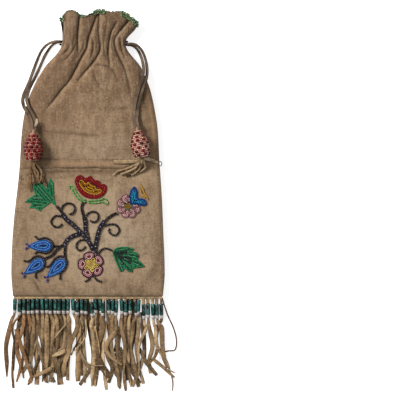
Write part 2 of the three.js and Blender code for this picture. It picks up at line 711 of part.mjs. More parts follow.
const sepals = band([
  [-11.6, 84.6], [-9.6, 79.3], [-5.4, 73.8], [0.1, 71.6], [5.9, 71.9], [10.1, 72.3], [13.7, 70.4],
], SEPAL);
addPiece(front, "front_red_flower_sepals", cutAway(beaded(sepals), [room(redFlower)]), GREEN_BEAD);

const pinkPlace = [26.5, 69.7];
const rootPlace = beside(pinkPlace, 6.1, 7.7);
const upperWing = teardrop(beside(rootPlace, -0.2, 16), beside(rootPlace, -0.7, -3), UPPER_WING);
const lowerWing = teardrop(beside(rootPlace, 15.8, -2.6), beside(rootPlace, -2.8, -0.6), LOWER_WING);
const wingRoot = oval(rootPlace, WING_ROOT, WING_ROOT, 0);
const wingSpread = bowed([beside(rootPlace, 0, 13), beside(rootPlace, 14, -1.4), rootPlace], 0);
const pinkFlower = rosette(pinkPlace, PINK_FLOWER, 8, 0);
const pinkCentre = oval(beside(pinkPlace, -3.3, -1.6), PINK_CENTRE, PINK_CENTRE, 0);
const wingRoom = [upperWing, lowerWing, wingRoot, wingSpread].map(room);
addPiece(front, "front_butterfly", fused([upperWing, lowerWing, wingRoot].map(beaded)), BLUE_BEAD);
addPiece(front, "front_pink_flower", cutAway(ringed(pinkFlower, pinkCentre), wingRoom), PINK_BEAD);
addPiece(front, "front_pink_flower_centre", beaded(pinkCentre), GOLD_BEAD);

const frontBuds = [
  { body: teardrop([-22.4, 39.1], [-40, 38.8], FRONT_BUD), hooks: [
    [[-30, 42.5], [-33.2, 44.6], [-34.2, 47]], [[-30, 35.5], [-33.2, 33.8], [-34.2, 32]],
  ] },
  { body: teardrop([-26.9, 27.2], [-43, 16], FRONT_BUD), hooks: [
    [[-35, 25.6], [-38.6, 26.9], [-41.5, 27.2]], [[-31.6, 18.8], [-33.4, 16.4], [-34, 13.2]],
  ] },
  { body: teardrop([-12.5, 27.2], [-28, 13], FRONT_BUD), hooks: [
    [[-20.4, 24.6], [-23.6, 22.4], [-26, 20.6]], [[-16.4, 17.8], [-18, 14.8], [-18.2, 12.3]],
  ] },
];
frontBuds.forEach(({ body: shape, hooks }, i) => {
  addPiece(front, `front_bud_${i + 1}`, bud(shape, hooks), BLUE_BEAD);
});

const smallPlace = [2.3, 23.9];
const smallFlower = rosette(smallPlace, SMALL_FLOWER, 5, 97);
const smallCentre = oval(smallPlace, SMALL_CENTRE, SMALL_CENTRE, 0);
const smallTails = [
  [beside(smallPlace, 0.5, -5.7), beside(smallPlace, -1.6, -15.5), beside(smallPlace, -7.9, -19.1)],
  [beside(smallPlace, 1.6, -5.7), beside(smallPlace, 5.2, -15.5), beside(smallPlace, 11.7, -19.1)],
];
const smallPetals = fused([beaded(smallFlower), ...smallTails.map((tail) => beaded(band(tail, TENDRIL)))]);
addPiece(front, "front_small_flower", cutAway(smallPetals, [room(smallCentre)]), PINK_BEAD);
addPiece(front, "front_small_flower_centre", beaded(smallCentre), GOLD_BEAD);

const lowerLeaf = bowed([
  [15.4, 33.9], [22.7, 38.4], [25.4, 36.3], [31, 37.7], [31.6, 33.9], [34.2, 30.8], [36.7, 21.5],
  [31.3, 21.8], [28.4, 17.7], [24.8, 21.1], [21.5, 19.1], [17.6, 26.1],
], 0.08);
addPiece(front, "front_lower_leaf", beaded(lowerLeaf), DEEP_GREEN_BEAD);

const frontStems = fused([
  band([[4.9, 31.5], [3, 38.6], [-0.9, 44.9], [-2.4, 46]], STEM),
  band([[-0.6, 44.4], [-7.4, 51.3], [-12.6, 58.7], [-16.2, 64]], STEM),
  band([[-1, 44], [-1.4, 52.7], [-1.2, 58.9]], STEM),
  band([[4.6, 34.7], [4.9, 43.3], [6.6, 50.3], [9.5, 55.4]], STEM),
  band([[-1, 45.4], [-9, 45.6], [-13.6, 42.5], [-15.9, 38.6]], STEM),
  ...[
    [[-15.4, 63], [-17.8, 67.1], [-20.1, 71]],
    [[-1.2, 58], [-3.2, 65.1], [-3.6, 69.4], [-1.4, 73]],
    [[9, 54.8], [13.1, 59.7], [16.7, 62.6], [21, 65]],
    [[-15.4, 39.4], [-19.5, 38.1], [-23.4, 38.9]],
    [[-15.6, 39], [-19.8, 35.1], [-24, 30.8], [-28.6, 26.5]],
    [[-15.8, 39.4], [-14.9, 34.7], [-14.6, 29.3], [-14.2, 26.1]],
    [[4.6, 32.4], [8.2, 35.3], [11.8, 36.9], [16.3, 33.9]],
    [[-15.6, 63], [-15.2, 68.6], [-12.2, 71.8], [-9, 69], [-9.7, 65.1], [-12, 64.4]],
    [[-14.8, 62.4], [-20.8, 60.8], [-23.4, 57.3], [-21.4, 53.6], [-17.5, 54.2]],
    [[-1.2, 57.8], [0.7, 64], [4, 65.8], [6.8, 62.8], [6.1, 58.5], [3.2, 57.8]],
    [[8.4, 53.6], [14.4, 56], [19.1, 54.1], [20.1, 50.1], [17.5, 47.2], [14.6, 49.1]],
    [[0.6, 42.4], [-4.5, 43], [-7.4, 40.2], [-6.3, 36], [-3.2, 35.6]],
  ].map((line) => band(line, TENDRIL)),
].map(beaded));
const budBodies = frontBuds.map((each) => each.body);
const frontMotifs = [upperLeaf, sepals, pinkFlower, smallFlower, lowerLeaf, ...budBodies];
addPiece(front, "front_stems", cutAway(frontStems, frontMotifs.map(room)), NAVY_BEAD);

// Beadwork on the back, laid out as seen from behind and turned to face down
const back = new THREE.Group();
back.rotation.y = Math.PI;
back.position.z = BEAD;
body.add(back);

const brightLeaf = bowed([
  [-21.5, 64], [-32.5, 53], [-39.7, 60.9], [-36.6, 66.3], [-37.5, 73.3], [-37, 85.6], [-28, 80.9],
  [-24.4, 85.4], [-20.8, 79.2], [-13.9, 83.9], [-14.1, 73.3], [-10, 71.4], [-17.6, 62.4],
], 0.08);
addPiece(back, "back_bright_leaf", beaded(brightLeaf), GREEN_BEAD);

const darkLeaf = bowed([
  [19.5, 62], [9.8, 65.6], [12.7, 72.2], [11.4, 80.4], [18.9, 78.4], [22.8, 83.9], [31.2, 87.8], [30.6, 78.4],
  [35.1, 76.8], [34.5, 70.6], [39.5, 66.7], [31.9, 64.4], [31.7, 55], [24.7, 59.7],
], 0.08);
addPiece(back, "back_dark_leaf", beaded(darkLeaf), DEEP_GREEN_BEAD);

const backPlace = [0.3, 35.5];
const backFlower = rosette(backPlace, BACK_FLOWER, 5, 90);
const backCentre = oval(backPlace, BACK_CENTRE, BACK_CENTRE, 0);
const backTails = [
  [beside(backPlace, -0.5, -9.5), beside(backPlace, -3.7, -25.5), beside(backPlace, -14.2, -27.7)],
  [beside(backPlace, 0.9, -9.5), beside(backPlace, 5.2, -25.1), beside(backPlace, 12.1, -29.6)],
];
const backPetals = fused([beaded(backFlower), ...backTails.map((tail) => beaded(band(tail, TENDRIL)))]);
addPiece(back, "back_red_flower", cutAway(backPetals, [room(backCentre)]), RED_BEAD);
addPiece(back, "back_red_flower_centre", beaded(backCentre), GOLD_BEAD);

const cap1 = oval([-26, 34.2], BUD_CAP, BUD_CAP, 0);
const cap2 = oval([-22.8, 23.6], BUD_CAP, BUD_CAP, 0);
const backBuds = [
  { cap: cap1, body: teardrop([-28.8, 34.1], [-46, 34.7], BACK_BUD), hooks: [
    [[-35, 38], [-38, 40.2], [-40, 42.6]], [[-36, 30.6], [-39, 28.6], [-41, 26.6]],
  ] },
  { cap: cap2, body: teardrop([-24.8, 21.4], [-37, 7.6], BACK_BUD), hooks: [
    [[-31.4, 18.4], [-35, 18.6], [-37.7, 19]], [[-28.6, 13.4], [-28, 9], [-28.2, 5.4]],
  ] },
];
backBuds.forEach(({ cap, body: shape, hooks }, i) => {
  addPiece(back, `back_bud_cap_${i + 1}`, beaded(cap), MAROON_BEAD);
  addPiece(back, `back_bud_${i + 1}`, cutAway(bud(shape, hooks), [room(cap)]), BLUE_BEAD);
});

const rosePlace = [32.2, 21.5];
const roseDisc = oval(rosePlace, ROSE, ROSE, 0);
const roseSepals = [
  [beside(rosePlace, -11.2, 3.6), beside(rosePlace, -7.4, 12.4), beside(rosePlace, 2.1, 14.7)],
  [beside(rosePlace, -7.4, 2.2), beside(rosePlace, -18.2, -2.5), beside(rosePlace, -13.3, -11.8)],
];
const roseWisps = [
  [beside(rosePlace, -1.8, -8), beside(rosePlace, -4, -17.1), beside(rosePlace, -9.1, -21.8)],
  [beside(rosePlace, 6.7, 2.2), beside(rosePlace, 15.9, 0.4), beside(rosePlace, 19.6, 2.8)],
];
const roseLeaves = [
  ...roseSepals.map((line) => band(line, ROSE_SEPAL)),
  ...roseWisps.map((line) => band(line, TENDRIL)),
];
addPiece(back, "back_rose", fused([roseDisc, ...roseLeaves].map(beaded)), PINK_BEAD);

const backStems = {
  back_upper_left_stem: [
    band([[-2.6, 41], [-7.2, 46.8], [-13.9, 53.8]], STEM),
    band([[-13, 53], [-18.2, 59.3], [-22.1, 65]], TENDRIL),
    band([
      [-11.1, 51.1], [-10.9, 58.9], [-9.1, 64.5], [-5.5, 66.2], [-2.1, 63.6], [-3.6, 59.4], [-6.4, 60],
    ], TENDRIL),
    band([[-12.9, 53], [-17.9, 54.4], [-21.3, 51.5], [-20.8, 47.2], [-16.9, 47.7]], TENDRIL),
  ],
  back_upper_right_stem: [
    band([[3.9, 41], [7.8, 46], [13, 53.4]], STEM),
    band([[12.4, 52.4], [16.3, 57.7], [20.2, 63.4]], TENDRIL),
    band([[12.4, 52], [11.1, 60.1], [7.2, 63.1], [3, 61.2], [2.9, 57.3], [6.5, 55.8]], TENDRIL),
    band([[9.6, 48.6], [16.9, 51.3], [23.1, 49.1], [24.5, 44.9], [21.2, 41.6], [18.2, 44.5]], TENDRIL),
  ],
  back_bud_stem: [
    band([[-5.2, 33.2], [-10.4, 32], [-16.9, 33.2], [-26, 34.6]], TENDRIL),
    band([[-11, 32.1], [-16.9, 30.2], [-19.6, 27.3], [-23.4, 23.8]], TENDRIL),
  ],
  back_rose_stem: [
    band([[8.5, 32.8], [13.7, 30.7], [18.9, 32.1], [24.1, 30.3], [28.6, 25.4]], TENDRIL),
    band([[12.6, 31.2], [16.9, 27.7], [18.5, 23.9], [17.7, 20.7]], TENDRIL),
  ],
};
const backMotifs = [brightLeaf, darkLeaf, backFlower, cap1, cap2, roseDisc, ...roseLeaves];
for (const [name, lines] of Object.entries(backStems)) {
  addPiece(back, name, cutAway(fused(lines.map(beaded)), backMotifs.map(room)), NAVY_BEAD);
}

// The origin is the middle of the bag's own underside, cords apart
bag.updateMatrixWorld(true);
const box = new THREE.Box3().setFromObject(body, true);
const centre = box.getCenter(new THREE.Vector3());
bag.position.set(-centre.x, -centre.y, -box.min.z);

export default bag;
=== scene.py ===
import math

import bpy
import numpy as np
from mathutils import Matrix, Vector


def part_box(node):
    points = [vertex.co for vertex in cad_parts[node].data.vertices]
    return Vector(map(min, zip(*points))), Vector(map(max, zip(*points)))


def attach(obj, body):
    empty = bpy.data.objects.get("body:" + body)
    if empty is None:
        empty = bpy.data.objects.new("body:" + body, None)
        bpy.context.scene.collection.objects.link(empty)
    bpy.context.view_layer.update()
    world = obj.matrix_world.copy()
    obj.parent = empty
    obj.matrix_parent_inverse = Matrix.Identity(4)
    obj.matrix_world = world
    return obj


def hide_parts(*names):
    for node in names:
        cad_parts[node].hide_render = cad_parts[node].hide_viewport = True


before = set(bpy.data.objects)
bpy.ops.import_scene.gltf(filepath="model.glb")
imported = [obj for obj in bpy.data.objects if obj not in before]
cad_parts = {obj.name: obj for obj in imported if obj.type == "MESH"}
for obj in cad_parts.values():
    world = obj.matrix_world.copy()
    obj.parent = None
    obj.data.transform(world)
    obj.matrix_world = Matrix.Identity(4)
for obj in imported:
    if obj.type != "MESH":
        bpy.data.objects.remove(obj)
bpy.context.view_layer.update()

# Camera: straight above the bag as it lies on its back, so far off that the view is nearly flat.
# The bag lies to the left of the middle of the square picture.
panel_low, panel_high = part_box("lower_front_panel")
SEAM_X = (panel_low.x + panel_high.x) / 2
SEAM_Y = panel_low.y
MM = 0.001


def at(x, y, z):
    """A point in the row frame, from millimetres off the middle of the bottom seam and the table."""
    return Vector((SEAM_X + x * MM, SEAM_Y + y * MM, z * MM))


VIEW_MIDDLE = at(127.7, 109.3, 10)
VIEW_WIDTH = 0.4556
LENS = 150
FILM_WIDTH = 36
camera = bpy.data.objects.new("camera", bpy.data.cameras.new("camera"))
camera.data.lens = LENS
camera.data.sensor_width = FILM_WIDTH
camera.data.clip_end = 10
camera.location = VIEW_MIDDLE + Vector((0, 0, VIEW_WIDTH * LENS / FILM_WIDTH))
bpy.context.scene.collection.objects.link(camera)
bpy.context.scene.camera = camera

# Table and light: a white table under two broad lamps, the stronger one at the upper left.
# The table shows white to the camera and keeps the bag's shadow.


def srgb(red, green, blue):
    """A linear colour from 0 to 255 display values."""
    parts = np.array([red, green, blue], float) / 255
    linear = np.where(parts <= 0.04045, parts / 12.92, ((parts + 0.055) / 1.055) ** 2.4)
    return (*linear.tolist(), 1.0)


class Value:
    """A shader socket that arithmetic works on."""

    def __init__(self, shader, socket):
        self.shader = shader
        self.socket = socket

    def __add__(self, other):
        return self.shader.math("ADD", self, other)

    def __sub__(self, other):
        return self.shader.math("SUBTRACT", self, other)

    def __rsub__(self, other):
        return self.shader.math("SUBTRACT", other, self)

    def __mul__(self, other):
        return self.shader.math("MULTIPLY", self, other)

    __radd__ = __add__
    __rmul__ = __mul__


class Shader:
    """A material and the few calls that its nodes are made with."""

    def __init__(self, name, **constants):
        self.material = bpy.data.materials.new(name)
        self.material.use_nodes = True
        self.tree = self.material.node_tree
        self.surface = self.tree.nodes["Principled BSDF"]
        for key, value in constants.items():
            self.surface.inputs[key.replace("_", " ")].default_value = value

    def join(self, socket, value):
        if isinstance(value, Value):
            self.tree.links.new(value.socket, socket)
        else:
            socket.default_value = value

    def node(self, kind, inputs, output=0, **settings):
        made = self.tree.nodes.new(kind)
        for key, value in settings.items():
            setattr(made, key, value)
        for key, value in inputs.items():
            self.join(made.inputs[key], value)
        return Value(self, made.outputs[output])

    def math(self, operation, a, b):
        return self.node("ShaderNodeMath", {0: a, 1: b}, operation=operation)

    def place(self):
        return self.node("ShaderNodeTexCoord", {}, output="Object")

    def noise(self, scale, detail=3.0, roughness=0.55, vector=None):
        place = vector or self.place()
        inputs = {"Vector": place, "Scale": scale, "Detail": detail, "Roughness": roughness}
        return self.node("ShaderNodeTexNoise", inputs)

    def between(self, value, low, high):
        """Value as a share of the way from low to high, kept within 0 and 1."""
        inputs = {"Value": value, "From Min": low, "From Max": high}
        return self.node("ShaderNodeMapRange", inputs)

    def mix(self, share, a, b):
        return self.node("ShaderNodeMix", {0: share, 6: a, 7: b}, output=2, data_type="RGBA")

    def layer(self, base, *coats):
        """A colour under coats, each given as (how much of it shows, 0 to 255 display values)."""
        for share, colour in coats:
            base = self.mix(share, base, srgb(*colour))
        return base

    def attribute(self, name, output="Fac"):
        return self.node("ShaderNodeAttribute", {}, output=output, attribute_name=name)

    def finish(self, **inputs):
        for key, value in inputs.items():
            self.join(self.surface.inputs[key.replace("_", " ")], value)
        return self.material

    def bump(self, height, distance, strength=1.0):
        return self.node("ShaderNodeBump", {"Height": height, "Distance": distance, "Strength": strength})


def mesh_object(name, points, faces, smooth=True):
    """A mesh object at the origin from points in metres."""
    mesh = bpy.data.meshes.new(name)
    mesh.from_pydata([tuple(point) for point in points], [], [tuple(face) for face in faces])
    mesh.shade_smooth() if smooth else mesh.shade_flat()
    made = bpy.data.objects.new(name, mesh)
    bpy.context.scene.collection.objects.link(made)
    return made


HALF_TABLE = 3.0
TABLE_GLOW = 0.7
SKY_STRENGTH = 0.23
RAYS = ("Is Camera Ray", "Is Glossy Ray", "Is Transmission Ray")
corners = [(x * HALF_TABLE, y * HALF_TABLE, 0) for x, y in ((-1, -1), (1, -1), (1, 1), (-1, 1))]
table = mesh_object("table", corners, [(0, 1, 2, 3)])
table_paint = Shader("table_white", Base_Color=srgb(238, 238, 238), Roughness=0.9, Emission_Strength=1.0)
seen = sum(table_paint.node("ShaderNodeLightPath", {}, output=ray) for ray in RAYS)
glow = table_paint.mix(seen, (0, 0, 0, 1), (TABLE_GLOW, TABLE_GLOW, TABLE_GLOW, 1))
table.data.materials.append(table_paint.finish(Emission_Color=glow))

world = bpy.data.worlds.new("studio")
world.use_nodes = True
sky = world.node_tree.nodes["Background"]
sky.inputs["Color"].default_value = (1, 1, 1, 1)
sky.inputs["Strength"].default_value = SKY_STRENGTH
bpy.context.scene.world = world
bpy.context.scene.view_settings.view_transform = "Standard"

for name, place, size, power in (("key_lamp", (-0.95, 0.75, 1.05), 0.6, 31),
                                 ("fill_lamp", (1.3, 0.1, 1.3), 1.2, 6)):
    lamp = bpy.data.objects.new(name, bpy.data.lights.new(name, "AREA"))
    lamp.data.size = size
    lamp.data.energy = power
    lamp.location = place
    lamp.rotation_euler = (-lamp.location).to_track_quat("-Z", "Y").to_euler()
    bpy.context.scene.collection.objects.link(lamp)

# Drawstring thongs: dark greasy hide, twice doubled, leaving the neck at both sides to the knobs.
# Each strand's points are in millimetres from the middle of the bottom seam and the table.
THONG_WIDTH = 3.2
THONG_THICK = 1.25
THONG_ROUTES = {
    "left_outer_thong": [
        (-31.8, 289.6, 16.4), (-37, 289.4, 15.4), (-43, 287.8, 12.4), (-48.8, 284.4, 8.4),
        (-53.6, 279, 4.6), (-57.2, 272.3, 2.2), (-60.2, 265.2, 1.3), (-62.8, 258, 1.3),
        (-65.4, 250.8, 1.3), (-68, 243.6, 1.5), (-70.8, 236.6, 2.8), (-73.2, 229.8, 6), (-74.2, 222.8, 10),
        (-72.6, 215.8, 13.4), (-68.4, 209, 14.8), (-64.6, 202, 15.2), (-62.6, 195.6, 17),
        (-62, 189.6, 20.4), (-62.3, 183.8, 23.1),
    ],
    "left_inner_thong": [
        (-31.8, 289.6, 3.4), (-36.2, 289.2, 3), (-40.8, 286.8, 2), (-45, 282.2, 1.4), (-48.8, 276, 1.3),
        (-52.2, 269.4, 1.3), (-55.2, 262.4, 1.3), (-58.2, 255.4, 1.5), (-61.4, 248.4, 2.4),
        (-64.6, 241.6, 5), (-67.4, 235, 8.6), (-69.2, 228, 11.8), (-68.8, 220.8, 13.6), (-66, 213.6, 14.8),
        (-62.2, 206.6, 15.2), (-59.6, 199.6, 15.8), (-58.8, 193.4, 18), (-58.8, 188.4, 20.8),
        (-59.3, 183.8, 23.1),
    ],
    "right_outer_thong": [
        (44.8, 286.4, 16.4), (50, 286.8, 15.2), (55.4, 285.4, 11.8), (60, 281.6, 7.8), (63.4, 276, 4.6),
        (65.6, 269.4, 3), (66.9, 262.6, 4.2), (67.4, 255.8, 7.6), (66.9, 249.2, 11.6), (65.2, 242.8, 15),
        (62.9, 236.4, 16.6), (60.8, 229.6, 16.6), (59, 222.8, 16), (57.6, 216, 15.4), (56.6, 209.2, 15.2),
        (56.2, 202.8, 16), (56.8, 197, 18.4), (57.9, 191.9, 21.2), (58.8, 187.3, 23.1),
    ],
    "right_inner_thong": [
        (44.8, 286.4, 3.4), (49.2, 286.1, 2.8), (53.4, 284, 1.6), (57, 280, 1.4), (59.8, 274.4, 1.8),
        (61.8, 268.2, 4), (63.2, 261.8, 8), (63.6, 255.4, 12.2), (62.6, 249, 15.4), (60.6, 242.4, 17.6),
        (58.4, 236, 18.2), (56.5, 229.2, 17.6), (55, 222.4, 16.6), (53.8, 215.6, 15.8), (53, 208.8, 15.4),
        (52.8, 202.4, 16), (53.6, 196.6, 18.4), (54.8, 191.4, 21.2), (55.7, 186.7, 23.1),
    ],
}
thong_paint = Shader("dark_thong", Roughness=0.7, Specular_IOR_Level=0.25)
worn = thong_paint.between(thong_paint.noise(90, 4), 0.36, 0.66)
# Painted shade: the thong darkens where its strip tint is below one, on its edges, its underside and one
# side.
thong_edge_shade = (1 - thong_paint.attribute("tint")) * 2
thong_colour = thong_paint.layer(srgb(70, 55, 43), (worn, (118, 97, 76)), (thong_edge_shade, (38, 28, 22)))
thong_grain = thong_paint.bump(thong_paint.noise(1500, 4), 0.0004, 0.5)
thong_paint.finish(Base_Color=thong_colour, Normal=thong_grain)


def smooth_path(points, steps):
    """Points along a smooth curve through the given ones, so many to each span."""
    given = np.array([tuple(point) for point in points], float)
    padded = np.vstack([2 * given[0] - given[1], given, 2 * given[-1] - given[-2]])
    out = []
    for i in range(1, len(padded) - 2):
        a, b, c, d = padded[i - 1:i + 3]
        for t in np.arange(steps) / steps:
            out.append(0.5 * (2 * b + (c - a) * t + (2 * a - 5 * b + 4 * c - d) * t ** 2
                              + (3 * b - a - 3 * c + d) * t ** 3))
    return np.array(out + [given[-1]])


def path_frame(path, level=(0, 0, 1.0)):
    """Directions across and above a path at each of its points; it nowhere runs along level."""
    run = np.gradient(path, axis=0)
    run /= np.linalg.norm(run, axis=1)[:, None]
    across = np.cross(run, level)
    across /= np.linalg.norm(across, axis=1)[:, None]
    return across, np.cross(across, run)


def ring_faces(start, rings, sides):
    """Faces of a closed tube over that many rings of points, the first point being start."""
    faces = []
    for ring in range(start, start + (rings - 1) * sides, sides):
        for i in range(sides):
            a, b = ring + i, ring + (i + 1) % sides
            faces.append((a, a + sides, b + sides, b))
    last = start + (rings - 1) * sides
    return faces + [tuple(range(start, start + sides)), tuple(reversed(range(last, last + sides)))]


def set_points(made, label, kind, values):
    """Gives each point of an object its own value, direction or colour under a label."""
    field = {"FLOAT": "value", "FLOAT_VECTOR": "vector", "FLOAT_COLOR": "color"}[kind]
    layer = made.data.attributes.new(label, kind, "POINT")
    layer.data.foreach_set(field, np.array(values, np.float32).ravel())


STRIP_SECTION = [(-0.5, 0.35), (-0.36, 1), (0, 1), (0.36, 1), (0.5, 0.35),
                 (0.5, -0.35), (0.36, -1), (0, -1), (-0.36, -1), (-0.5, -0.35)]
TABLE_GAP = 0.02
# Painted shade in the tints of strips and thongs: top faces at this tone, edges and undersides darker, one
# side lighter than the other.
STRIP_TONE = 1.12
EDGE_SHADE = 0.75
SIDE_SHADE = 0.45
UNDERSIDE_SHADE = 0.62


def hide_strips(name, strips, material):
    """Flat strips, each given as (points in millimetres, widths, twists, curl, thickness, colour)."""
    points, faces, tints = [], [], []
    for k, (line, widths, twists, curl, thick, colour) in enumerate(strips):
        lean = SIDE_SHADE * (-1) ** k
        path = smooth_path(line, 6)
        share = np.linspace(0, 1, len(path))
        wide = np.interp(share, np.linspace(0, 1, len(widths)), widths)
        twist = np.interp(share, np.linspace(0, 1, len(twists)), twists)
        across, above = path_frame(path)
        flat = across * np.cos(twist)[:, None] + above * np.sin(twist)[:, None]
        face = above * np.cos(twist)[:, None] - across * np.sin(twist)[:, None]
        path[:, 2] = np.maximum(path[:, 2], np.abs(np.sin(twist)) * wide / 2 + thick / 2 + 0.05)
        faces += ring_faces(len(points), len(path), len(STRIP_SECTION))
        for j in range(len(path)):
            for s, up in STRIP_SECTION:
                bow = curl * (0.25 - s * s) * 4
                spot = path[j] + flat[j] * s * wide[j] + face[j] * (bow + up * thick / 2)
                points.append(at(spot[0], spot[1], max(spot[2], TABLE_GAP)))
                # Painted shade: darker edges and underside, and one side lighter than the other.
                strip_face_shade = STRIP_TONE - EDGE_SHADE * (abs(s) > 0.4) + lean * s
                tints.append(np.array(colour) * (1 if up > 0.5 else UNDERSIDE_SHADE) * strip_face_shade)
    made = mesh_object(name, points, faces)
    made.data.set_sharp_from_angle(angle=0.5)
    set_points(made, "tint", "FLOAT_COLOR", tints)
    made.data.materials.append(material)
    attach(made, "root")
    return made


THONG_TURNS = ([-0.3, 0.2, 0.6, -0.4, -0.1, 0.5, -0.3, 0], [0.2, 0.5, -0.3, 0.7, 0.1, -0.6, 0.3, 0])
for k, (name, route) in enumerate(THONG_ROUTES.items()):
    broad = 1.4 if name.startswith("right") else 1.3
    widths = np.array([0.8, 1, 1.1, broad, broad, 0.85]) * THONG_WIDTH
    strand = (route, widths, THONG_TURNS[k % 2], 0.1, THONG_THICK, (1, 1, 1, 1))
    hide_strips(name + "_strand", [strand], thong_paint.material)
    [at(*point) for point in smooth_path(route, 6)]
    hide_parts(name)

# Hide panels: four pieces of smoke-tanned skin, the upper two gathered by the drawstrings at the neck.
# Each is a closed skin with its folds, its wavy rim, its stains, the lap of the middle seam, and painted
# shade and highlights.
HIDE = 1.3
LOWER_HEIGHT = 146.0
FOOT_Y = 201.0
NECK_Y = 285.0
RIM_Y = 324.0
FRONT_LIFT = 8.2
BACK_LIFT = 5.4
RIM_LIFT = 3.6
RIM_SPREAD = 3.2
SEAM_LOFT = 0.95
POUCH_LOFT = 3.3
PLEAT_DEPTH = 1.5
POUCH_MIDDLE = 7.25
NECK_MIDDLE = 9.3
BOTTOM_ROLL = 16.0
LAP = 1.6
LAP_HEIGHT = 1.5
STITCH_RISE = 9.5
SHEET_STEPS = 160


def through(stations, level=False):
    """A smooth curve of a value over a position; level stations have no slope."""
    where, value = np.array(stations, float).T
    before = np.maximum(np.arange(len(where)) - 1, 0)
    after = np.minimum(np.arange(len(where)) + 1, len(where) - 1)
    slope = (value[after] - value[before]) / (where[after] - where[before])
    slope = slope * (0 if level else 1)

    def curve(y):
        i = np.clip(np.searchsorted(where, y) - 1, 0, len(where) - 2)
        run = where[i + 1] - where[i]
        t = np.clip((y - where[i]) / run, 0, 1)
        bend = run * (slope[i] * t * (1 - t) ** 2 - slope[i + 1] * t * t * (1 - t))
        return value[i] + (value[i + 1] - value[i]) * t * t * (3 - 2 * t) + bend

    return curve


bag_width = through([(0, 171), (27, 175), (88, 169.6), (LOWER_HEIGHT, 160), (196, 153), (232, 136.5),
                     (260, 110), (NECK_Y, 73.5), (RIM_Y, 89)])
bag_lean = through([(0, 0), (60, 0), (LOWER_HEIGHT, 1.9), (FOOT_Y, 2.2), (NECK_Y, 6.5), (RIM_Y, 12.5)],
                   level=True)
bag_middle = through([(LOWER_HEIGHT, POUCH_MIDDLE), (NECK_Y, NECK_MIDDLE)], level=True)
upper_loft = through([(LOWER_HEIGHT, 4.25), (NECK_Y, 2.5), (RIM_Y, 4.5)], level=True)
side_gap = through([(0, SEAM_LOFT), (BOTTOM_ROLL, 0.15)], level=True)
front_rim = through([(-1, -7), (-0.86, -0.8), (-0.62, -0.4), (-0.4, -6.5), (-0.16, -2.4), (0, 0.4),
                     (0.3, -1.2), (0.65, -2), (1, -13)])
back_rim = through([(-1, -8), (-0.8, -11.5), (-0.64, -11), (-0.5, -4.5), (-0.3, -7), (-0.12, -10),
                    (0.05, -11), (0.32, -8.5), (0.5, -4), (0.65, -5.4), (1, -13)])
flat_rim = through([(-1, 0), (1, 0)])
# Folds and wrinkles, each with its half width and its points: across, up and how deep, in millimetres.
FRONT_FOLDS = [
    (1.7, [(-9, 321, 4), (-11.3, 297, 6), (-11, 282, 4), (-10, 268, 0)]),
    (1.9, [(11.4, 322, 4), (6, 308, 5.4), (1, 293, 6.4), (-1.4, 281, 6), (-7.5, 270, 5.6), (-20.4, 246, 4.4),
           (-30, 235, 3.8), (-40, 222, 3), (-53, 207, 0)]),
    (1.8, [(12.4, 320, 4), (12.2, 299, 5.4), (14.2, 281, 6.2), (7, 267, 5), (-6.7, 251, 3.6), (-15, 240, 0)]),
    (1.7, [(33, 312, 1.6), (26, 298, 5), (23.2, 278, 5.8), (24.6, 265, 4), (24.8, 257, 0)]),
    (1.7, [(46.5, 313, 5.4), (38, 303, 5.6), (30.6, 292, 5), (33, 277, 4.2), (41, 260, 3.2), (46, 243, 2.2),
           (50, 220, 0)]),
    (1.2, [(37, 296, 0), (37.5, 286, 2.4), (41, 273, 2), (47, 262, 0)]),
    (1.1, [(1, 300, 0), (6.2, 288, 2.2), (5.5, 276, 2), (0, 264, 0)]),
    (1.1, [(-12, 292, 0), (-16, 280, 2.4), (-24, 270, 1.6), (-33, 265, 0)]),
    (1.0, [(-19, 289, 0), (-23, 279, 2), (-31, 273, 0.8), (-37, 271, 0)]),
    (1.0, [(-4.2, 292, 0), (-5.2, 282.5, 2), (-10.9, 273, 1.8), (-16.6, 267, 0)]),
    (0.9, [(-15.6, 309, 0), (-14.7, 296, 1.8), (-16.6, 284, 1.6), (-15, 276, 0)]),
    (0.9, [(32.8, 305, 0), (28.9, 296, 2), (27.4, 284, 2), (29.5, 275, 0)]),
    (0.9, [(-25, 300, 0), (-26.4, 288, 1.6), (-29, 280, 0)]),
    (0.9, [(11.4, 292, 0), (10, 282, 1.8), (9.6, 274, 0)]),
    (1.0, [(18, 296, 0), (18.4, 284, 2), (20, 272, 1.4), (27, 262, 0)]),
    (2.6, [(4, 262, 0), (14, 262.6, 2), (24, 260, 2.2), (31, 252, 1.4), (34, 240, 0)]),
    (2.2, [(6, 258, 0), (7.6, 249, 1.8), (12.6, 240, 1.2), (15, 234, 0)]),
    (2.4, [(58, 262, 0), (60, 248, 1.8), (62.4, 230, 1.6), (66, 205, 0)]),
    (1.3, [(-26, 320, 1.6), (-24, 306, 1.4), (-22, 292, 0)]),
    (1.3, [(22, 318, 1), (20.5, 302, 1.6), (18.6, 288, 0)]),
    (3.0, [(-62, 232, 0), (-48, 240, 0.8), (-38, 256, 0.6), (-33, 268, 0)]),
]
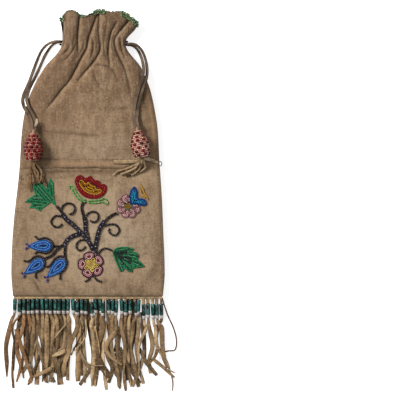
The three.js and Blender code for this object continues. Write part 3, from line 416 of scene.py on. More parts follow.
BACK_FOLDS = [
    (1.8, [(29, 322, 2.4), (21, 303, 4.2), (13, 288, 4), (8, 276, 0)]),
    (1.7, [(40, 316, 0), (34, 300, 2.4), (33, 282, 3.2), (39, 266, 2.4), (46, 246, 0)]),
    (1.8, [(24, 296, 0), (16.4, 288, 3.4), (24, 266, 3.8), (32, 244, 3), (38.7, 226, 1.6), (41, 212, 0)]),
    (1.5, [(2, 318, 0), (2.6, 300, 3), (1.8, 280, 3.6), (0.6, 268, 0)]),
    (1.6, [(-1, 296, 0), (-6, 280, 3), (-13, 266, 3.6), (-19, 247, 1.6), (-26, 230, 0)]),
    (1.8, [(-15, 318, 2.4), (-13.6, 296, 4.2), (-18, 280, 3), (-30, 262, 3.8), (-43, 240, 3.8),
           (-55, 214, 3.4), (-64, 196, 2.2), (-66, 182, 0)]),
    (1.2, [(-24, 300, 0), (-22, 286, 2), (-28, 272, 1.8), (-40, 256, 0)]),
    (1.2, [(9, 296, 0), (9, 284, 2), (6, 272, 0)]),
    (2.4, [(-3, 266, 0), (4, 252, 1), (9, 236, 0)]),
    (1.2, [(43, 306, 0), (38, 296, 2.6), (36.6, 288, 0)]),
    (1.3, [(-8, 300, 0), (-9, 288, 2.6), (-8, 276, 2), (-14, 262, 0)]),
    (1.2, [(-20, 304, 0), (-24, 290, 2.2), (-27, 280, 0)]),
    (1.3, [(30, 288, 0), (28, 278, 2.4), (34, 262, 1.6), (40, 252, 0)]),
]
LOWER_FOLDS = [
    (1.0, [(-72, 23.1, 0), (-62, 17.2, 1.2), (-58.3, 12, 1.5), (-55, 6.1, 1.5), (-51, 1.3, 0.6)]),
    (1.4, [(44, 12, 0), (50, 6, 0.7), (52, 1, 0)]),
    (1.5, [(-80, 138.6, 0.8), (-77, 134.8, 2.2), (-73, 132.6, 1.8), (-68, 131, 0)]),
]
# Stains, each with its half width and its points: across, up and how strong; some are painted shade.
FRONT_STAINS_AND_SHADE = [(1.8, [(-58, 187.6, 0), (-40, 187, 0.7), (-8, 184.4, 0.9), (10, 182.6, 1), (16, 181.6, 0)]),
                (1.8, [(12, 212.6, 0), (24, 213.4, 0.9), (42, 213.4, 1), (52, 214.4, 0)]),
                (5.0, [(62, 250, 0.3), (66, 226, 0.5), (67, 196, 0.4), (68, 160, 0)]),
                (1.3, [(-72, 157.5, 0.7), (-40, 156, 0.9), (-20, 155.6, 0.5), (0, 155.4, 0.5),
                       (14, 155, 0.9), (34, 154.4, 0.9)]),
                # Painted shadow beside the left knob.
                (7.0, [(-62, 228, 0), (-66, 206, 0.4), (-65, 180, 0.5), (-66, 150, 0.4)]),
                # Painted shade along the lower edge of the middle seam's lap.
                (1.7, [(-62, 145.4, 0.4), (-40, 145, 1), (-4, 145.8, 1), (30, 145.2, 1), (54, 146, 0.3)])]
BACK_STAINS = [(2.4, [(-30, 196, 0), (0, 195, 0.4), (20, 196, 0)]),
               (2.0, [(2, 226, 0), (3, 220, 0.7), (4, 216, 0)])]
# The first, on this line, is painted shadow under the middle seam's lap.
LOWER_STAINS_AND_SHADE = [(3.0, [(-60, 143, 0.5), (-40, 141.4, 1), (-6, 142.4, 0.9), (24, 142, 1), (46, 143, 0.4)]),
                (2.2, [(-52, 134, 0), (-40, 135, 0.6), (-24, 136, 0.6), (-12, 138, 0)]),
                (5.0, [(80, 100, 0.2), (80, 60, 0.4), (76, 30, 0.5), (60, 8, 0.3)]),
                (4.0, [(46, 24, 0), (48, 12, 0.45), (50, 2, 0.5)]),
                # Painted shade along the lower left crease.
                (1.2, [(-70, 22.5, 0), (-62, 17.2, 0.8), (-58.3, 12, 1), (-55, 6.1, 1), (-51.5, 1.3, 0.7)])]
BACK_LOWER_STAINS = [(6, [(46, 131, 0), (20, 130, 0.6), (-20, 128, 0.7), (-52, 131, 0.2)]),
                     (5, [(78, 84, 0.3), (66, 74, 0.5), (48, 70, 0)]),
                     (5, [(-60, 62, 0), (-72, 58, 0.4), (-80, 30, 0.4)]),
                     (4, [(20, 14, 0), (-10, 9, 0.4), (-40, 12, 0)])]


def undulation(x, y, cell, seed):
    """Soft random heights between -1 and 1 over cells of that size."""
    heights = np.random.default_rng(seed).uniform(-1, 1, (96, 96))
    u, v = (x + 300) / cell, (y + 300) / cell
    i, j = np.floor(u).astype(int), np.floor(v).astype(int)
    s, t = u - i, v - j
    s, t = s * s * (3 - 2 * s), t * t * (3 - 2 * t)

    def corner(a, b):
        return heights[(i + a) % 96, (j + b) % 96]

    low = corner(0, 0) * (1 - s) + corner(1, 0) * s
    high = corner(0, 1) * (1 - s) + corner(1, 1) * s
    return low * (1 - t) + high * t


def along_line(x, y, line):
    """How far each point is from a line, the line's depth at the nearest place and which side it is on."""
    path = smooth_path(line, 4)
    near = np.full_like(x, 1e9)
    deep = np.zeros_like(x)
    hand = np.zeros_like(x)
    for a, b in zip(path[:-1], path[1:]):
        run = b[:2] - a[:2]
        t = np.clip(((x - a[0]) * run[0] + (y - a[1]) * run[1]) / (run @ run), 0, 1)
        away = np.hypot(x - a[0] - t * run[0], y - a[1] - t * run[1])
        closer = away < near
        near = np.where(closer, away, near)
        deep = np.where(closer, a[2] + (b[2] - a[2]) * t, deep)
        hand = np.where(closer, np.tanh(((x - a[0]) * run[1] - (y - a[1]) * run[0]) / np.hypot(*run)), hand)
    return near, np.maximum(deep, 0), hand


def ramp(value, start, end):
    """How far a value is on its way from start to end, kept within 0 and 1."""
    return np.clip((value - start) / (end - start), 0, 1)


def bell(value, middle, width):
    """1 at the middle, fading out to both sides."""
    return np.exp(-((value - middle) / width) ** 2)


def folded(x, y, folds):
    """Depth of the folds at each point, the painted shade in their valleys and the painted highlight on the
    ridge at their right.
    """
    sharp, wide, dark, ridge_highlight = (np.zeros_like(x) for _ in range(4))
    for width, line in folds:
        near, deep, hand = along_line(x, y, line)
        sharp = np.maximum(sharp, 0.55 * deep * np.exp(-near / width))
        wide = wide + 0.42 * deep * bell(near, 0, 4.2 * width)
        wide = wide - 0.2 * deep * hand * np.exp(-near / (2.6 * width))
        dark = np.maximum(dark, np.clip(deep / 3, 0, 1) * bell(near, 0, max(0.46 * width, 0.75)))
        crest = bell(near, 1.5 * width, 0.7 * width) * (hand < 0)
        ridge_highlight = np.maximum(ridge_highlight, np.clip(deep / 4, 0, 1) * crest)
    return sharp + 4 * np.tanh(wide / 4), dark, ridge_highlight


def hide_marks(x, y, raised, share, side, stains_and_shade):
    """How strongly each mark shows at each point of a panel; raised is y with the wave of its edge."""
    front = side > 0
    stain_and_shade_strength = np.zeros_like(x)
    for width, line in stains_and_shade:
        near, strong, _ = along_line(x, raised, line)
        stain_and_shade_strength = np.maximum(stain_and_shade_strength, strong * bell(near, 0, width))
    # Painted shade on the left of the front and at the top of the front neck.
    shaded = 0.45 * ramp(-share, 0.1, 0.6) + 0.3 * ramp(y, 262, 302)
    side_welt = bell(share, 0.935, 0.016) * ramp(y, 236, 206) * (y > LOWER_HEIGHT) * front
    # Painted highlight on the roll of the middle seam's lap.
    lap_highlight = 0.7 * bell(raised, LOWER_HEIGHT + 4.6, 2.2) * (np.abs(share) < 0.9)
    # Painted light on the middle of the lower front panel and low on the upper front panel.
    front_painted_light = bell(x, 17, 50) * bell(y, 66, 50) + 0.4 * bell(x, 10, 50) * bell(y, 168, 20)
    back_pale = 0.9 * bell(y, 137, 6) * np.abs(share)
    return {
        "stain_and_shade": stain_and_shade_strength,
        # Painted shade at the side edges, and on the front the painted shade above.
        "edge": np.maximum(ramp(np.abs(share), 0.95, 1), shaded * front),
        "welt": np.maximum(side_welt, lap_highlight),
        "warm": np.clip(0.5 - share * 0.8 + 0.6 * undulation(x, y, 40, 17), 0, 1) * ramp(y, 150, 210),
        "pale": front_painted_light if front else back_pale,
        "handled": ramp(y, 205, 290) * (0.8 + 0.4 * share * front),
    }


def sheet_faces(rows, columns):
    """Faces of a closed sheet: a grid of points, the same grid under it and the edges between."""
    under = rows * columns
    faces = []
    for j in range(rows - 1):
        for i in range(columns - 1):
            a = j * columns + i
            faces.append((a, a + 1, a + columns + 1, a + columns))
            faces.append((under + a + columns, under + a + columns + 1, under + a + 1, under + a))
        a, b = j * columns, (j + 1) * columns - 1
        faces.append((a, a + columns, under + a + columns, under + a))
        faces.append((b + columns, b, under + b, under + b + columns))
    top = under - columns
    for i in range(columns - 1):
        faces.append((i + 1, i, under + i, under + i + 1))
        faces.append((top + i, top + i + 1, under + top + i + 1, under + top + i))
    return faces


def hide_skin(name, side, rows, lift, rim, folds, stains_and_shade):
    """A closed skin of hide over rows of points up the bag, and the line of its rim."""
    u = np.linspace(-1, 1, SHEET_STEPS + 1)
    share, y = np.meshgrid(1.5 * u - 0.5 * u ** 3, rows)
    swell = np.sqrt(1 - ramp(np.abs(share), 0.8, 1) ** 2)
    roll = np.maximum(1 - y / BOTTOM_ROLL, 0)
    loft = np.where(y < LOWER_HEIGHT - LAP, SEAM_LOFT + POUCH_LOFT * np.sqrt(1 - roll ** 2), upper_loft(y))
    x = bag_lean(y) + share * bag_width(y) / 2
    flare = ramp(y, NECK_Y, RIM_Y)
    flare = flare * flare * (3 - 2 * flare)
    x = x + RIM_SPREAD * flare * ramp(-share, 0.4, 1) * (side > 0)
    raised = y + flare * rim(share)
    depth, dark, ridge_highlight = folded(x, raised, folds)
    gap = side_gap(y)
    pleats = bell(y, NECK_Y + 3, 21) * undulation(x - 0.1 * y, y * 0.2, 5, 21)
    ripple = (0.12 + 0.4 * ramp(y, FOOT_Y, FOOT_Y + 60)) * undulation(x, y * 0.6, 9, 8)
    soft = 0.3 * undulation(x, y, 31, 5) + ripple + PLEAT_DEPTH * pleats - 0.3
    height = loft - gap + lift(y) - np.minimum(depth, 0.8 * (loft + lift(y))) + soft
    inner = gap + swell * height
    foot = rows[0]
    if foot > LOWER_HEIGHT / 2:
        rise = ramp(y, foot, foot + 2.6)
        fall = ramp(y, LOWER_HEIGHT + STITCH_RISE + 1.5, LOWER_HEIGHT + STITCH_RISE - 2)
        lump = 0.7 + 0.5 * undulation(x, 0 * y, 12, 3)
        inner = inner + LAP_HEIGHT * swell * np.sqrt(rise) * fall * lump + 0.35 * swell * (rise - 1)
        raised = raised + 0.9 * undulation(x, 0 * y, 14, 4) * (1 - ramp(y, foot, foot + 5))
    inner = np.minimum(inner, bag_middle(y) - HIDE - 0.06) if side < 0 else inner
    middle = bag_middle(y) + side * (inner + HIDE / 2)
    skins = [np.stack([SEAM_X + x * MM, SEAM_Y + raised * MM, (middle + half) * MM], axis=-1)
             for half in (HIDE / 2, -HIDE / 2)]
    made = mesh_object(name, np.reshape(skins, (-1, 3)), sheet_faces(*y.shape))
    marks = {"fold_shade": dark, "ridge_highlight": ridge_highlight, **hide_marks(x, y, raised, share, side, stains_and_shade)}
    for label, values in marks.items():
        set_points(made, label, "FLOAT", [values, values])
    return made, np.stack([x[-1], raised[-1], middle[-1]], axis=-1)


def hide_paint(name, light, dark):
    """Napped hide: clouded, streaked, stained and darker where handled, with painted shade in folds, at edges
    and by the seam lap, and painted light on ridges and the lap.
    """
    paint = Shader(name, Roughness=0.95, Sheen_Weight=0.1, Sheen_Roughness=0.6, Specular_IOR_Level=0.12)
    place = paint.place()

    def stretched(*scale):
        return paint.node("ShaderNodeMapping", {"Vector": place, "Scale": scale})

    cloud = paint.noise(26, 5, 0.65, place)
    grain = paint.noise(480, 4, 0.75, place)
    threads = paint.noise(420, 3, 0.6, stretched(1.0, 0.22, 0.5))
    lines = paint.noise(300, 3, 0.6, stretched(0.2, 1.0, 0.5))
    mottle = paint.noise(120, 5, 0.7, stretched(1.0, 0.6, 0.5))
    blot = paint.between(paint.noise(60, 5, 0.7, place), 0.55, 0.68)
    broken = paint.between(paint.noise(160, 3, 0.6, place), 0.3, 0.62)
    handled = paint.attribute("handled")
    base = paint.layer(
        paint.mix(paint.between(cloud, 0.36, 0.64), light, dark),
        (paint.attribute("warm") * 0.5, (134, 97, 67)),
        # Painted light on the front panels; on the back, a lighter band near the sides below the middle seam.
        (paint.attribute("pale") * 0.55, (198, 179, 154)),
        (handled * 0.82, (92, 67, 47)),
        (paint.between(threads, 0.5, 0.72) * (handled * 0.26 + 0.24), (178, 154, 124)),
        (paint.between(threads, 0.5, 0.3) * (handled * 0.4 + 0.28), (98, 76, 56)),
        (paint.between(lines, 0.5, 0.72) * 0.28, (100, 78, 58)),
        (paint.between(mottle, 0.5, 0.72) * 0.5, (176, 150, 120)),
        (paint.between(mottle, 0.5, 0.3) * 0.55, (100, 77, 56)),
        (paint.between(grain, 0.52, 0.66) * 0.45, (182, 158, 128)),
        (paint.between(grain, 0.48, 0.34) * 0.5, (88, 66, 48)),
        (blot * 0.5, (106, 82, 60)),
        # Stains, and painted shade along the middle seam's lap, beside the left knob and along a lower
        # crease.
        (paint.attribute("stain_and_shade") * (broken * 0.6 + 0.25), (86, 62, 42)),
        # A lighter band along the right side seam, and a painted highlight on the middle seam's lap.
        (paint.attribute("welt") * 0.5, (176, 134, 92)),
        # Painted highlight on the ridge beside each fold.
        (paint.attribute("ridge_highlight") * 0.3, (178, 148, 114)),
        # Painted shade at the side edges, on the left of the front and at the top of its neck.
        (paint.attribute("edge") * 0.4, (92, 76, 62)),
        # Painted shade in the valleys of the folds.
        (paint.attribute("fold_shade") * (broken * 0.3 + 0.7), (38, 24, 15)),
    )
    nap = paint.bump(grain * 0.5 + threads * paint.between(handled, 0, 0.6), 0.0007, 0.6)
    return paint.finish(Base_Color=base, Normal=nap)


hide_paints = {
    "smoked_hide": hide_paint("smoked_hide", srgb(164, 138, 108), srgb(140, 114, 86)),
    "worn_hide": hide_paint("worn_hide", srgb(150, 123, 95), srgb(122, 97, 72)),
}
no_lift = through([(0, 0), (1, 0)])
front_lift = through([(FOOT_Y, 0), (NECK_Y, FRONT_LIFT), (RIM_Y, RIM_LIFT)], level=True)
back_lift = through([(FOOT_Y, 0), (NECK_Y, BACK_LIFT), (RIM_Y, RIM_LIFT)], level=True)
lower_rows = np.concatenate([BOTTOM_ROLL * np.linspace(0, 1, 18) ** 2, np.linspace(18, LOWER_HEIGHT, 70)])
upper_rows = np.concatenate([LOWER_HEIGHT - LAP + np.linspace(0, 4, 9), np.linspace(150, RIM_Y, 130)])
PANELS = {
    "lower_front_panel": (1, lower_rows, no_lift, flat_rim, LOWER_FOLDS, LOWER_STAINS_AND_SHADE, "smoked_hide"),
    "lower_back_panel": (-1, lower_rows, no_lift, flat_rim, [], BACK_LOWER_STAINS, "smoked_hide"),
    "upper_front_panel": (1, upper_rows, front_lift, front_rim, FRONT_FOLDS, FRONT_STAINS_AND_SHADE, "worn_hide"),
    "upper_back_panel": (-1, upper_rows, back_lift, back_rim, BACK_FOLDS, BACK_STAINS, "worn_hide"),
}
rims = {}
panels = {}
for name, (side, rows, lift, rim, folds, stains_and_shade, finish) in PANELS.items():
    panels[name], rims[name] = hide_skin(name + "_hide", side, rows, lift, rim, folds, stains_and_shade)
    panels[name].data.materials.append(hide_paints[finish])
    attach(panels[name], "root")
    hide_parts(name)

# Drawstring inside the neck: each thong runs across the front under the folds, round the far side and back.
# Only its ends show, where they leave the neck.


def tube(name, path, radius, material, sides=10, level=(0, 0, 1.0)):
    """A round closed tube along a path, which nowhere runs along level."""
    path = np.array([tuple(point) for point in path], float)
    across, above = path_frame(path, level)
    angle = 2 * np.pi * np.arange(sides) / sides
    spokes = (np.cos(angle)[None, :, None] * across[:, None] + np.sin(angle)[None, :, None] * above[:, None])
    rings = path[:, None] + np.broadcast_to(radius, len(path))[:, None, None] * spokes
    made = mesh_object(name, rings.reshape(-1, 3), ring_faces(0, len(path), sides))
    made.data.materials.append(material)
    return made


for name, side, height, exit_x, far_x in (("left_drawstring_loop", -1, 289.6, -31.5, 45.2),
                                          ("right_drawstring_loop", 1, 286.4, 44.5, -32)):
    inside = exit_x - side * 7
    turn = [(exit_x, height, 16.4), (inside, height, 14), (6.5, height, 12.4),
            (far_x + side * 6, height, 12), (far_x + side * 1, height, 11),
            (far_x + side * 0.6, height, 9.3), (far_x + side * 1, height, 7.6),
            (far_x + side * 6, height, 6.6), (6.5, height, 6.6), (inside, height, 5.4),
            (exit_x, height, 3.4)]
    route = smooth_path([at(*point) for point in turn], 5)
    loop = tube(name + "_thong", route, 1.1 * MM, thong_paint.material, level=(0, 1.0, 0))
    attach(loop, "root")
    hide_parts(name)

# Seam thread: rows of small stitches along the middle seam and the side seams, with one slack loop.
# The thread is twisted sinew, a little lighter than the hide, and it sinks into it.


def bead_tree():
    """Geometry nodes that set one rounded bead at each point, turned, sized and tinted by the point."""
    tree = bpy.data.node_groups.new("strung_beads", "GeometryNodeTree")
    tree.interface.new_socket("Points", in_out="INPUT", socket_type="NodeSocketGeometry")
    for label in ("Along", "Across", "High"):
        tree.interface.new_socket(label, in_out="INPUT", socket_type="NodeSocketFloat")
    tree.interface.new_socket("Glass", in_out="INPUT", socket_type="NodeSocketMaterial")
    tree.interface.new_socket("Beads", in_out="OUTPUT", socket_type="NodeSocketGeometry")

    def node(kind, **settings):
        made = tree.nodes.new(kind)
        for key, value in settings.items():
            setattr(made, key, value)
        return made

    given = node("NodeGroupInput")
    result = node("NodeGroupOutput")
    ball = node("GeometryNodeMeshUVSphere")
    ball.inputs["Segments"].default_value = 8
    ball.inputs["Rings"].default_value = 5
    ball.inputs["Radius"].default_value = 0.5
    scale = node("ShaderNodeCombineXYZ")
    shaped = node("GeometryNodeTransform")
    smooth = node("GeometryNodeSetShadeSmooth")
    turn = node("GeometryNodeInputNamedAttribute", data_type="FLOAT_VECTOR")
    turn.inputs["Name"].default_value = "turn"
    size = node("GeometryNodeInputNamedAttribute", data_type="FLOAT")
    size.inputs["Name"].default_value = "size"
    rotation = node("FunctionNodeEulerToRotation")
    strung = node("GeometryNodeInstanceOnPoints")
    real = node("GeometryNodeRealizeInstances")
    painted = node("GeometryNodeSetMaterial")
    for start, end in (
        (given.outputs["Along"], scale.inputs["X"]), (given.outputs["Across"], scale.inputs["Y"]),
        (given.outputs["High"], scale.inputs["Z"]), (scale.outputs[0], shaped.inputs["Scale"]),
        (ball.outputs["Mesh"], shaped.inputs["Geometry"]), (shaped.outputs[0], smooth.inputs["Geometry"]),
        (smooth.outputs[0], strung.inputs["Instance"]), (given.outputs["Points"], strung.inputs["Points"]),
        (turn.outputs["Attribute"], rotation.inputs["Euler"]),
        (rotation.outputs[0], strung.inputs["Rotation"]),
        (size.outputs["Attribute"], strung.inputs["Scale"]), (strung.outputs[0], real.inputs["Geometry"]),
        (real.outputs[0], painted.inputs["Geometry"]), (given.outputs["Glass"], painted.inputs["Material"]),
        (painted.outputs[0], result.inputs["Beads"]),
    ):
        tree.links.new(start, end)
    return tree


strung_beads = bead_tree()


def string_beads(name, beads, shape, material):
    """An object of beads, each given as (point in metres, turn as Euler angles, size, linear colour)."""
    spots, turns, sizes, tints = zip(*beads)
    cloud = mesh_object(name, spots, [])
    set_points(cloud, "turn", "FLOAT_VECTOR", turns)
    set_points(cloud, "size", "FLOAT", sizes)
    set_points(cloud, "tint", "FLOAT_COLOR", tints)
    modifier = cloud.modifiers.new("beads", "NODES")
    modifier.node_group = strung_beads
    keys = {item.name: item.identifier for item in strung_beads.interface.items_tree}
    for label, value in zip(("Along", "Across", "High", "Glass"), (*shape, material)):
        modifier[keys[label]] = value
    bpy.context.view_layer.update()
    held = cloud.evaluated_get(bpy.context.evaluated_depsgraph_get())
    mesh = bpy.data.meshes.new_from_object(held)
    cloud.modifiers.clear()
    cloud.data = mesh
    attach(cloud, "root")
    return cloud


def measured(line):
    """How far along a line each of its points lies."""
    return np.concatenate([[0], np.cumsum(np.linalg.norm(np.diff(line, axis=0), axis=1))])


def walk_to(line, walked, walk):
    """The points of a line at the given ways along it."""
    return np.stack([np.interp(walk, walked, column) for column in line.T], axis=-1)


rng = np.random.default_rng(11)
thread_paint = Shader("sinew_thread", Roughness=0.8)
thread_fuzz = thread_paint.between(thread_paint.noise(1800, 2), 0.4, 0.7)
thread_tint = thread_paint.attribute("tint", "Color")
thread_paint.finish(Base_Color=thread_paint.layer(thread_tint, (thread_fuzz * 0.4, (176, 150, 118))))
STITCH = (0.0023, 0.0006, 0.0006)
LAP_PITCH = 3.1
SIDE_PITCH = 3.4
SIDE_SEAM = 0.962
stitches = []


def stitch_row(line, pitch):
    """Stitches along a line of points in millimetres, one to each pitch."""
    line = np.array(line, float)
    walked = measured(line)
    for walk in np.arange(pitch / 2, walked[-1], pitch):
        point, ahead = walk_to(line, walked, np.array([walk, walk + 0.5]))
        run = ahead - point
        turn = math.atan2(run[1], run[0]) + rng.uniform(-0.25, 0.25)
        lean = -math.asin(np.clip(run[2] / max(np.linalg.norm(run), 1e-6), -1, 1))
        tint = np.array(srgb(112, 88, 66)) * rng.uniform(0.6, 1.25)
        stitches.append((at(*point), (0, lean, turn), rng.uniform(0.85, 1.15), tint))


def face_point(side, share, y, out):
    """A point that far out from a face of the bag, in millimetres, away from the folds."""
    past = max(abs(share) - 0.8, 0) / 0.2
    swell = math.sqrt(max(1 - past ** 2, 0))
    middle, gap, loft = (float(curve(np.array(y))) for curve in (bag_middle, side_gap, upper_loft))
    x = float(bag_lean(np.array(y)) + share * bag_width(np.array(y)) / 2)
    return (x, y, middle + side * (gap + swell * (loft - gap - 0.25) + HIDE + out))


for side in (1, -1):
    seam_y = LOWER_HEIGHT + STITCH_RISE
    stitch_row([face_point(side, share, seam_y, 0.25) for share in np.linspace(-0.97, 0.97, 60)], LAP_PITCH)
    for edge in (-SIDE_SEAM, SIDE_SEAM):
        stitch_row([face_point(side, edge, y, 0.05) for y in np.linspace(20, 236, 60)], SIDE_PITCH)
thread = string_beads("seam_stitches", stitches, STITCH, thread_paint.material)
SLACK_WIDTH = 0.9
slack_line = [(80.8, 149, 8), (83, 148.2, 8), (84.2, 150.6, 8), (83, 153, 8), (80.6, 152.6, 8)]
slack_loop = (slack_line, [SLACK_WIDTH] * 2, [0, 0], 0, SLACK_WIDTH, srgb(70, 54, 40))
slack_thread = hide_strips("seam_slack_loop", [slack_loop], thread_paint.material)

# Mouth edging: looped green seed beads sewn along the front and back rims.
# They stand up in small points, and bunch at the ends and in the middle, where they also lie on the face.
EDGING_BEAD = (0.00135, 0.0017, 0.0017)
EDGING_PITCH = 1.1
EDGING_STEP = 1.15
GAP_CHANCE = 0.12
EDGING_GREENS = [srgb(78, 106, 58), srgb(56, 88, 52), srgb(100, 118, 72), srgb(40, 70, 46),
                 srgb(116, 128, 92)]
glass_paint = Shader("seed_glass", Roughness=0.25, Coat_Weight=0.12, Coat_Roughness=0.15,
                     Specular_IOR_Level=0.3)
glass_paint.finish(Base_Color=glass_paint.attribute("tint", "Color"))
# Each bunch's start and end as shares of the rim, and how far below and above the rim its beads reach.
FRONT_BUNCHES = [(0, 0.05, -5, 1.5), (0.05, 0.2, 0.2, 0.6), (0.2, 0.36, -0.9, 1), (0.36, 0.44, -0.2, 0.8),
                 (0.44, 0.58, -3, 2), (0.58, 0.76, 0.2, 0.7), (0.76, 1.0, -4.8, 1.8)]
BACK_BUNCHES = [(0, 0.14, -2, 2), (0.14, 0.34, -0.5, 2), (0.34, 0.58, -2.6, 2.2), (0.58, 0.86, -0.8, 2.4),
                (0.86, 1, -4, 2)]
for name, panel, side, bunches in (("front_rim_edging", "upper_front_panel", 1, FRONT_BUNCHES),
                                   ("back_rim_edging", "upper_back_panel", -1, BACK_BUNCHES)):
    walked = measured(rims[panel])
    beads = []
    for walk in np.arange(0.3, walked[-1] - 0.2, EDGING_PITCH):
        point = walk_to(rims[panel], walked, walk)
        share = walk / walked[-1]
        low, high = next((a, b) for start, end, a, b in bunches if start <= share <= end)
        for lift in np.arange(low, high, EDGING_STEP):
            if rng.random() < GAP_CHANCE:
                continue
            sway = rng.uniform(-0.4, 0.4)
            out = side * (1.3 if lift < 0 else rng.uniform(-0.5, 0.6))
            spot = at(point[0] + sway, point[1] + lift + rng.uniform(-0.3, 0.3), max(point[2] + out, 1))
            tint = np.array(EDGING_GREENS[rng.integers(len(EDGING_GREENS))]) * rng.uniform(0.75, 1.2)
            beads.append((spot, tuple(rng.uniform(-1.5, 1.5, 3)), rng.uniform(0.85, 1.15), tint))
    edging = string_beads(name + "_beads", beads, EDGING_BEAD, glass_paint.material)
    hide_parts(name)

# Knobs: a spindle on each pair of thong ends, wound with rings of small pale pink beads.
# Larger dark red beads stand out from every second ring, staggered; a hide wrap tops each knob.
KNOB_HEIGHT = 23.1
KNOB_FOOT = -14.5
KNOB_RING = 2.05
FIRST_RING, LAST_RING = -13.2, 16.4
WRAP_FOOT, WRAP_TOP = 13, 21
WRAP_DROOP = 3.4
CORE_INSET = 0.5
KNOB_PITCH = 2
KNOB_BEAD = (0.0018, 0.0019, 0.0021)
STUD_SIZE = 2.1
STUD_RISE = 0.6
knob_profile = through([(KNOB_FOOT, 3.6), (-11.3, 7), (-4.4, 8.9), (2.2, 8.8), (8.4, 6.8), (12.5, 3.8),
                        (14.5, 3.2), (22, 1.6)])
core_paint = Shader("knob_core", Roughness=0.85)
core_mottle = core_paint.between(core_paint.noise(300, 3), 0.35, 0.65)
core_paint.finish(Base_Color=core_paint.layer(srgb(118, 86, 66), (core_mottle, (160, 128, 102))),
                  Normal=core_paint.bump(core_paint.noise(700, 3), 0.0006, 0.6))
KNOB_RED = [srgb(108, 10, 16), srgb(88, 8, 12), srgb(70, 6, 8)]
KNOB_PINK = [srgb(196, 134, 114), srgb(176, 110, 94), srgb(146, 76, 66)]
KNOB_PALE = [srgb(232, 190, 168), srgb(216, 168, 146), srgb(196, 144, 124)]
knob_glass = Shader("knob_glass", Roughness=0.4, Specular_IOR_Level=0.2)
knob_glass.finish(Base_Color=knob_glass.attribute("tint", "Color"))
knobs = {}
for name, x, y, degrees, stud_pitch, wound_tints in (("left_knob", -60.8, 168.0, 0, 6, KNOB_PINK),
                                                     ("right_knob", 60.3, 171.6, 12, 7.6, KNOB_PALE)):
    place = Matrix.Translation(at(x, y, KNOB_HEIGHT)) @ Matrix.Rotation(math.radians(degrees), 4, "Z")
    levels = np.linspace(KNOB_FOOT, WRAP_TOP, 48)
    droop = ramp(levels, WRAP_FOOT, WRAP_TOP) ** 2 * -WRAP_DROOP
    spine = [place @ (Vector((0, level, drop)) * MM) for level, drop in zip(levels, droop)]
    core = tube(name + "_core", spine, (knob_profile(levels) - CORE_INSET) * MM, core_paint.material, 20)
    beads = []
    for ring, level in enumerate(np.arange(FIRST_RING, LAST_RING, KNOB_RING)):
        radius = float(knob_profile(np.array(level)))
        rows = [(KNOB_PITCH, wound_tints, 0, 1)] + [(stud_pitch, KNOB_RED, STUD_RISE, STUD_SIZE)] * (ring % 2)
        for pitch, shades, stand, size in rows:
            count = max(round(2 * math.pi * radius / pitch), 4)
            for k in range(count):
                angle = 2 * math.pi * (k + 0.5 * (ring // 2 % 2)) / count
                tint = np.array(shades[rng.integers(3)]) * rng.uniform(0.85, 1.12)
                reach = radius + stand
                local = Vector((reach * math.cos(angle), level, reach * math.sin(angle))) * MM
                turn = (place.to_3x3() @ Matrix.Rotation(-angle, 3, "Y")).to_euler()
                beads.append((place @ local, tuple(turn), rng.uniform(0.95, 1.05) * size, tint))
    wound = string_beads(name + "_beads", beads, KNOB_BEAD, knob_glass.material)
    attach(core, "root")
    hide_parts(name)
    knobs[name] = [core, wound]

# Tassels: narrow hide strips spreading from below each knob over the bag.
# Each strip is cut flat, curls across its width and twists a little towards its tip.
strip_paint = Shader("cut_hide", Roughness=0.92, Sheen_Weight=0.08, Specular_IOR_Level=0.15)
strip_fibre = strip_paint.noise(900, 3, 0.7)
strip_cloud = strip_paint.noise(110, 4, 0.65)
strip_fleck = strip_paint.noise(330, 4, 0.7)
strip_base = strip_paint.layer(
    strip_paint.attribute("tint", "Color"),
    (strip_paint.between(strip_cloud, 0.45, 0.66) * 0.65, (84, 63, 44)),
    (strip_paint.between(strip_fibre, 0.45, 0.75) * 0.25, (198, 164, 122)),
    (strip_paint.between(strip_fleck, 0.5, 0.68) * 0.3, (196, 168, 132)),
    (strip_paint.between(strip_fleck, 0.5, 0.34) * 0.35, (66, 47, 32)),
)
strip_paint.finish(Base_Color=strip_base, Normal=strip_paint.bump(strip_fibre + strip_fleck, 0.0006, 0.7))
PALE_STRIP = srgb(210, 188, 158)
LIGHT_STRIP = srgb(186, 158, 120)
TAN_STRIP = srgb(156, 127, 92)
BROWN_STRIP = srgb(118, 91, 63)
DARK_STRIP = srgb(80, 60, 43)
RUST_STRIP = srgb(138, 98, 62)
# SHADED_STRIP is near black, for strips laid under the tassels as painted shadow between the others.
SHADED_STRIP = srgb(46, 28, 17)
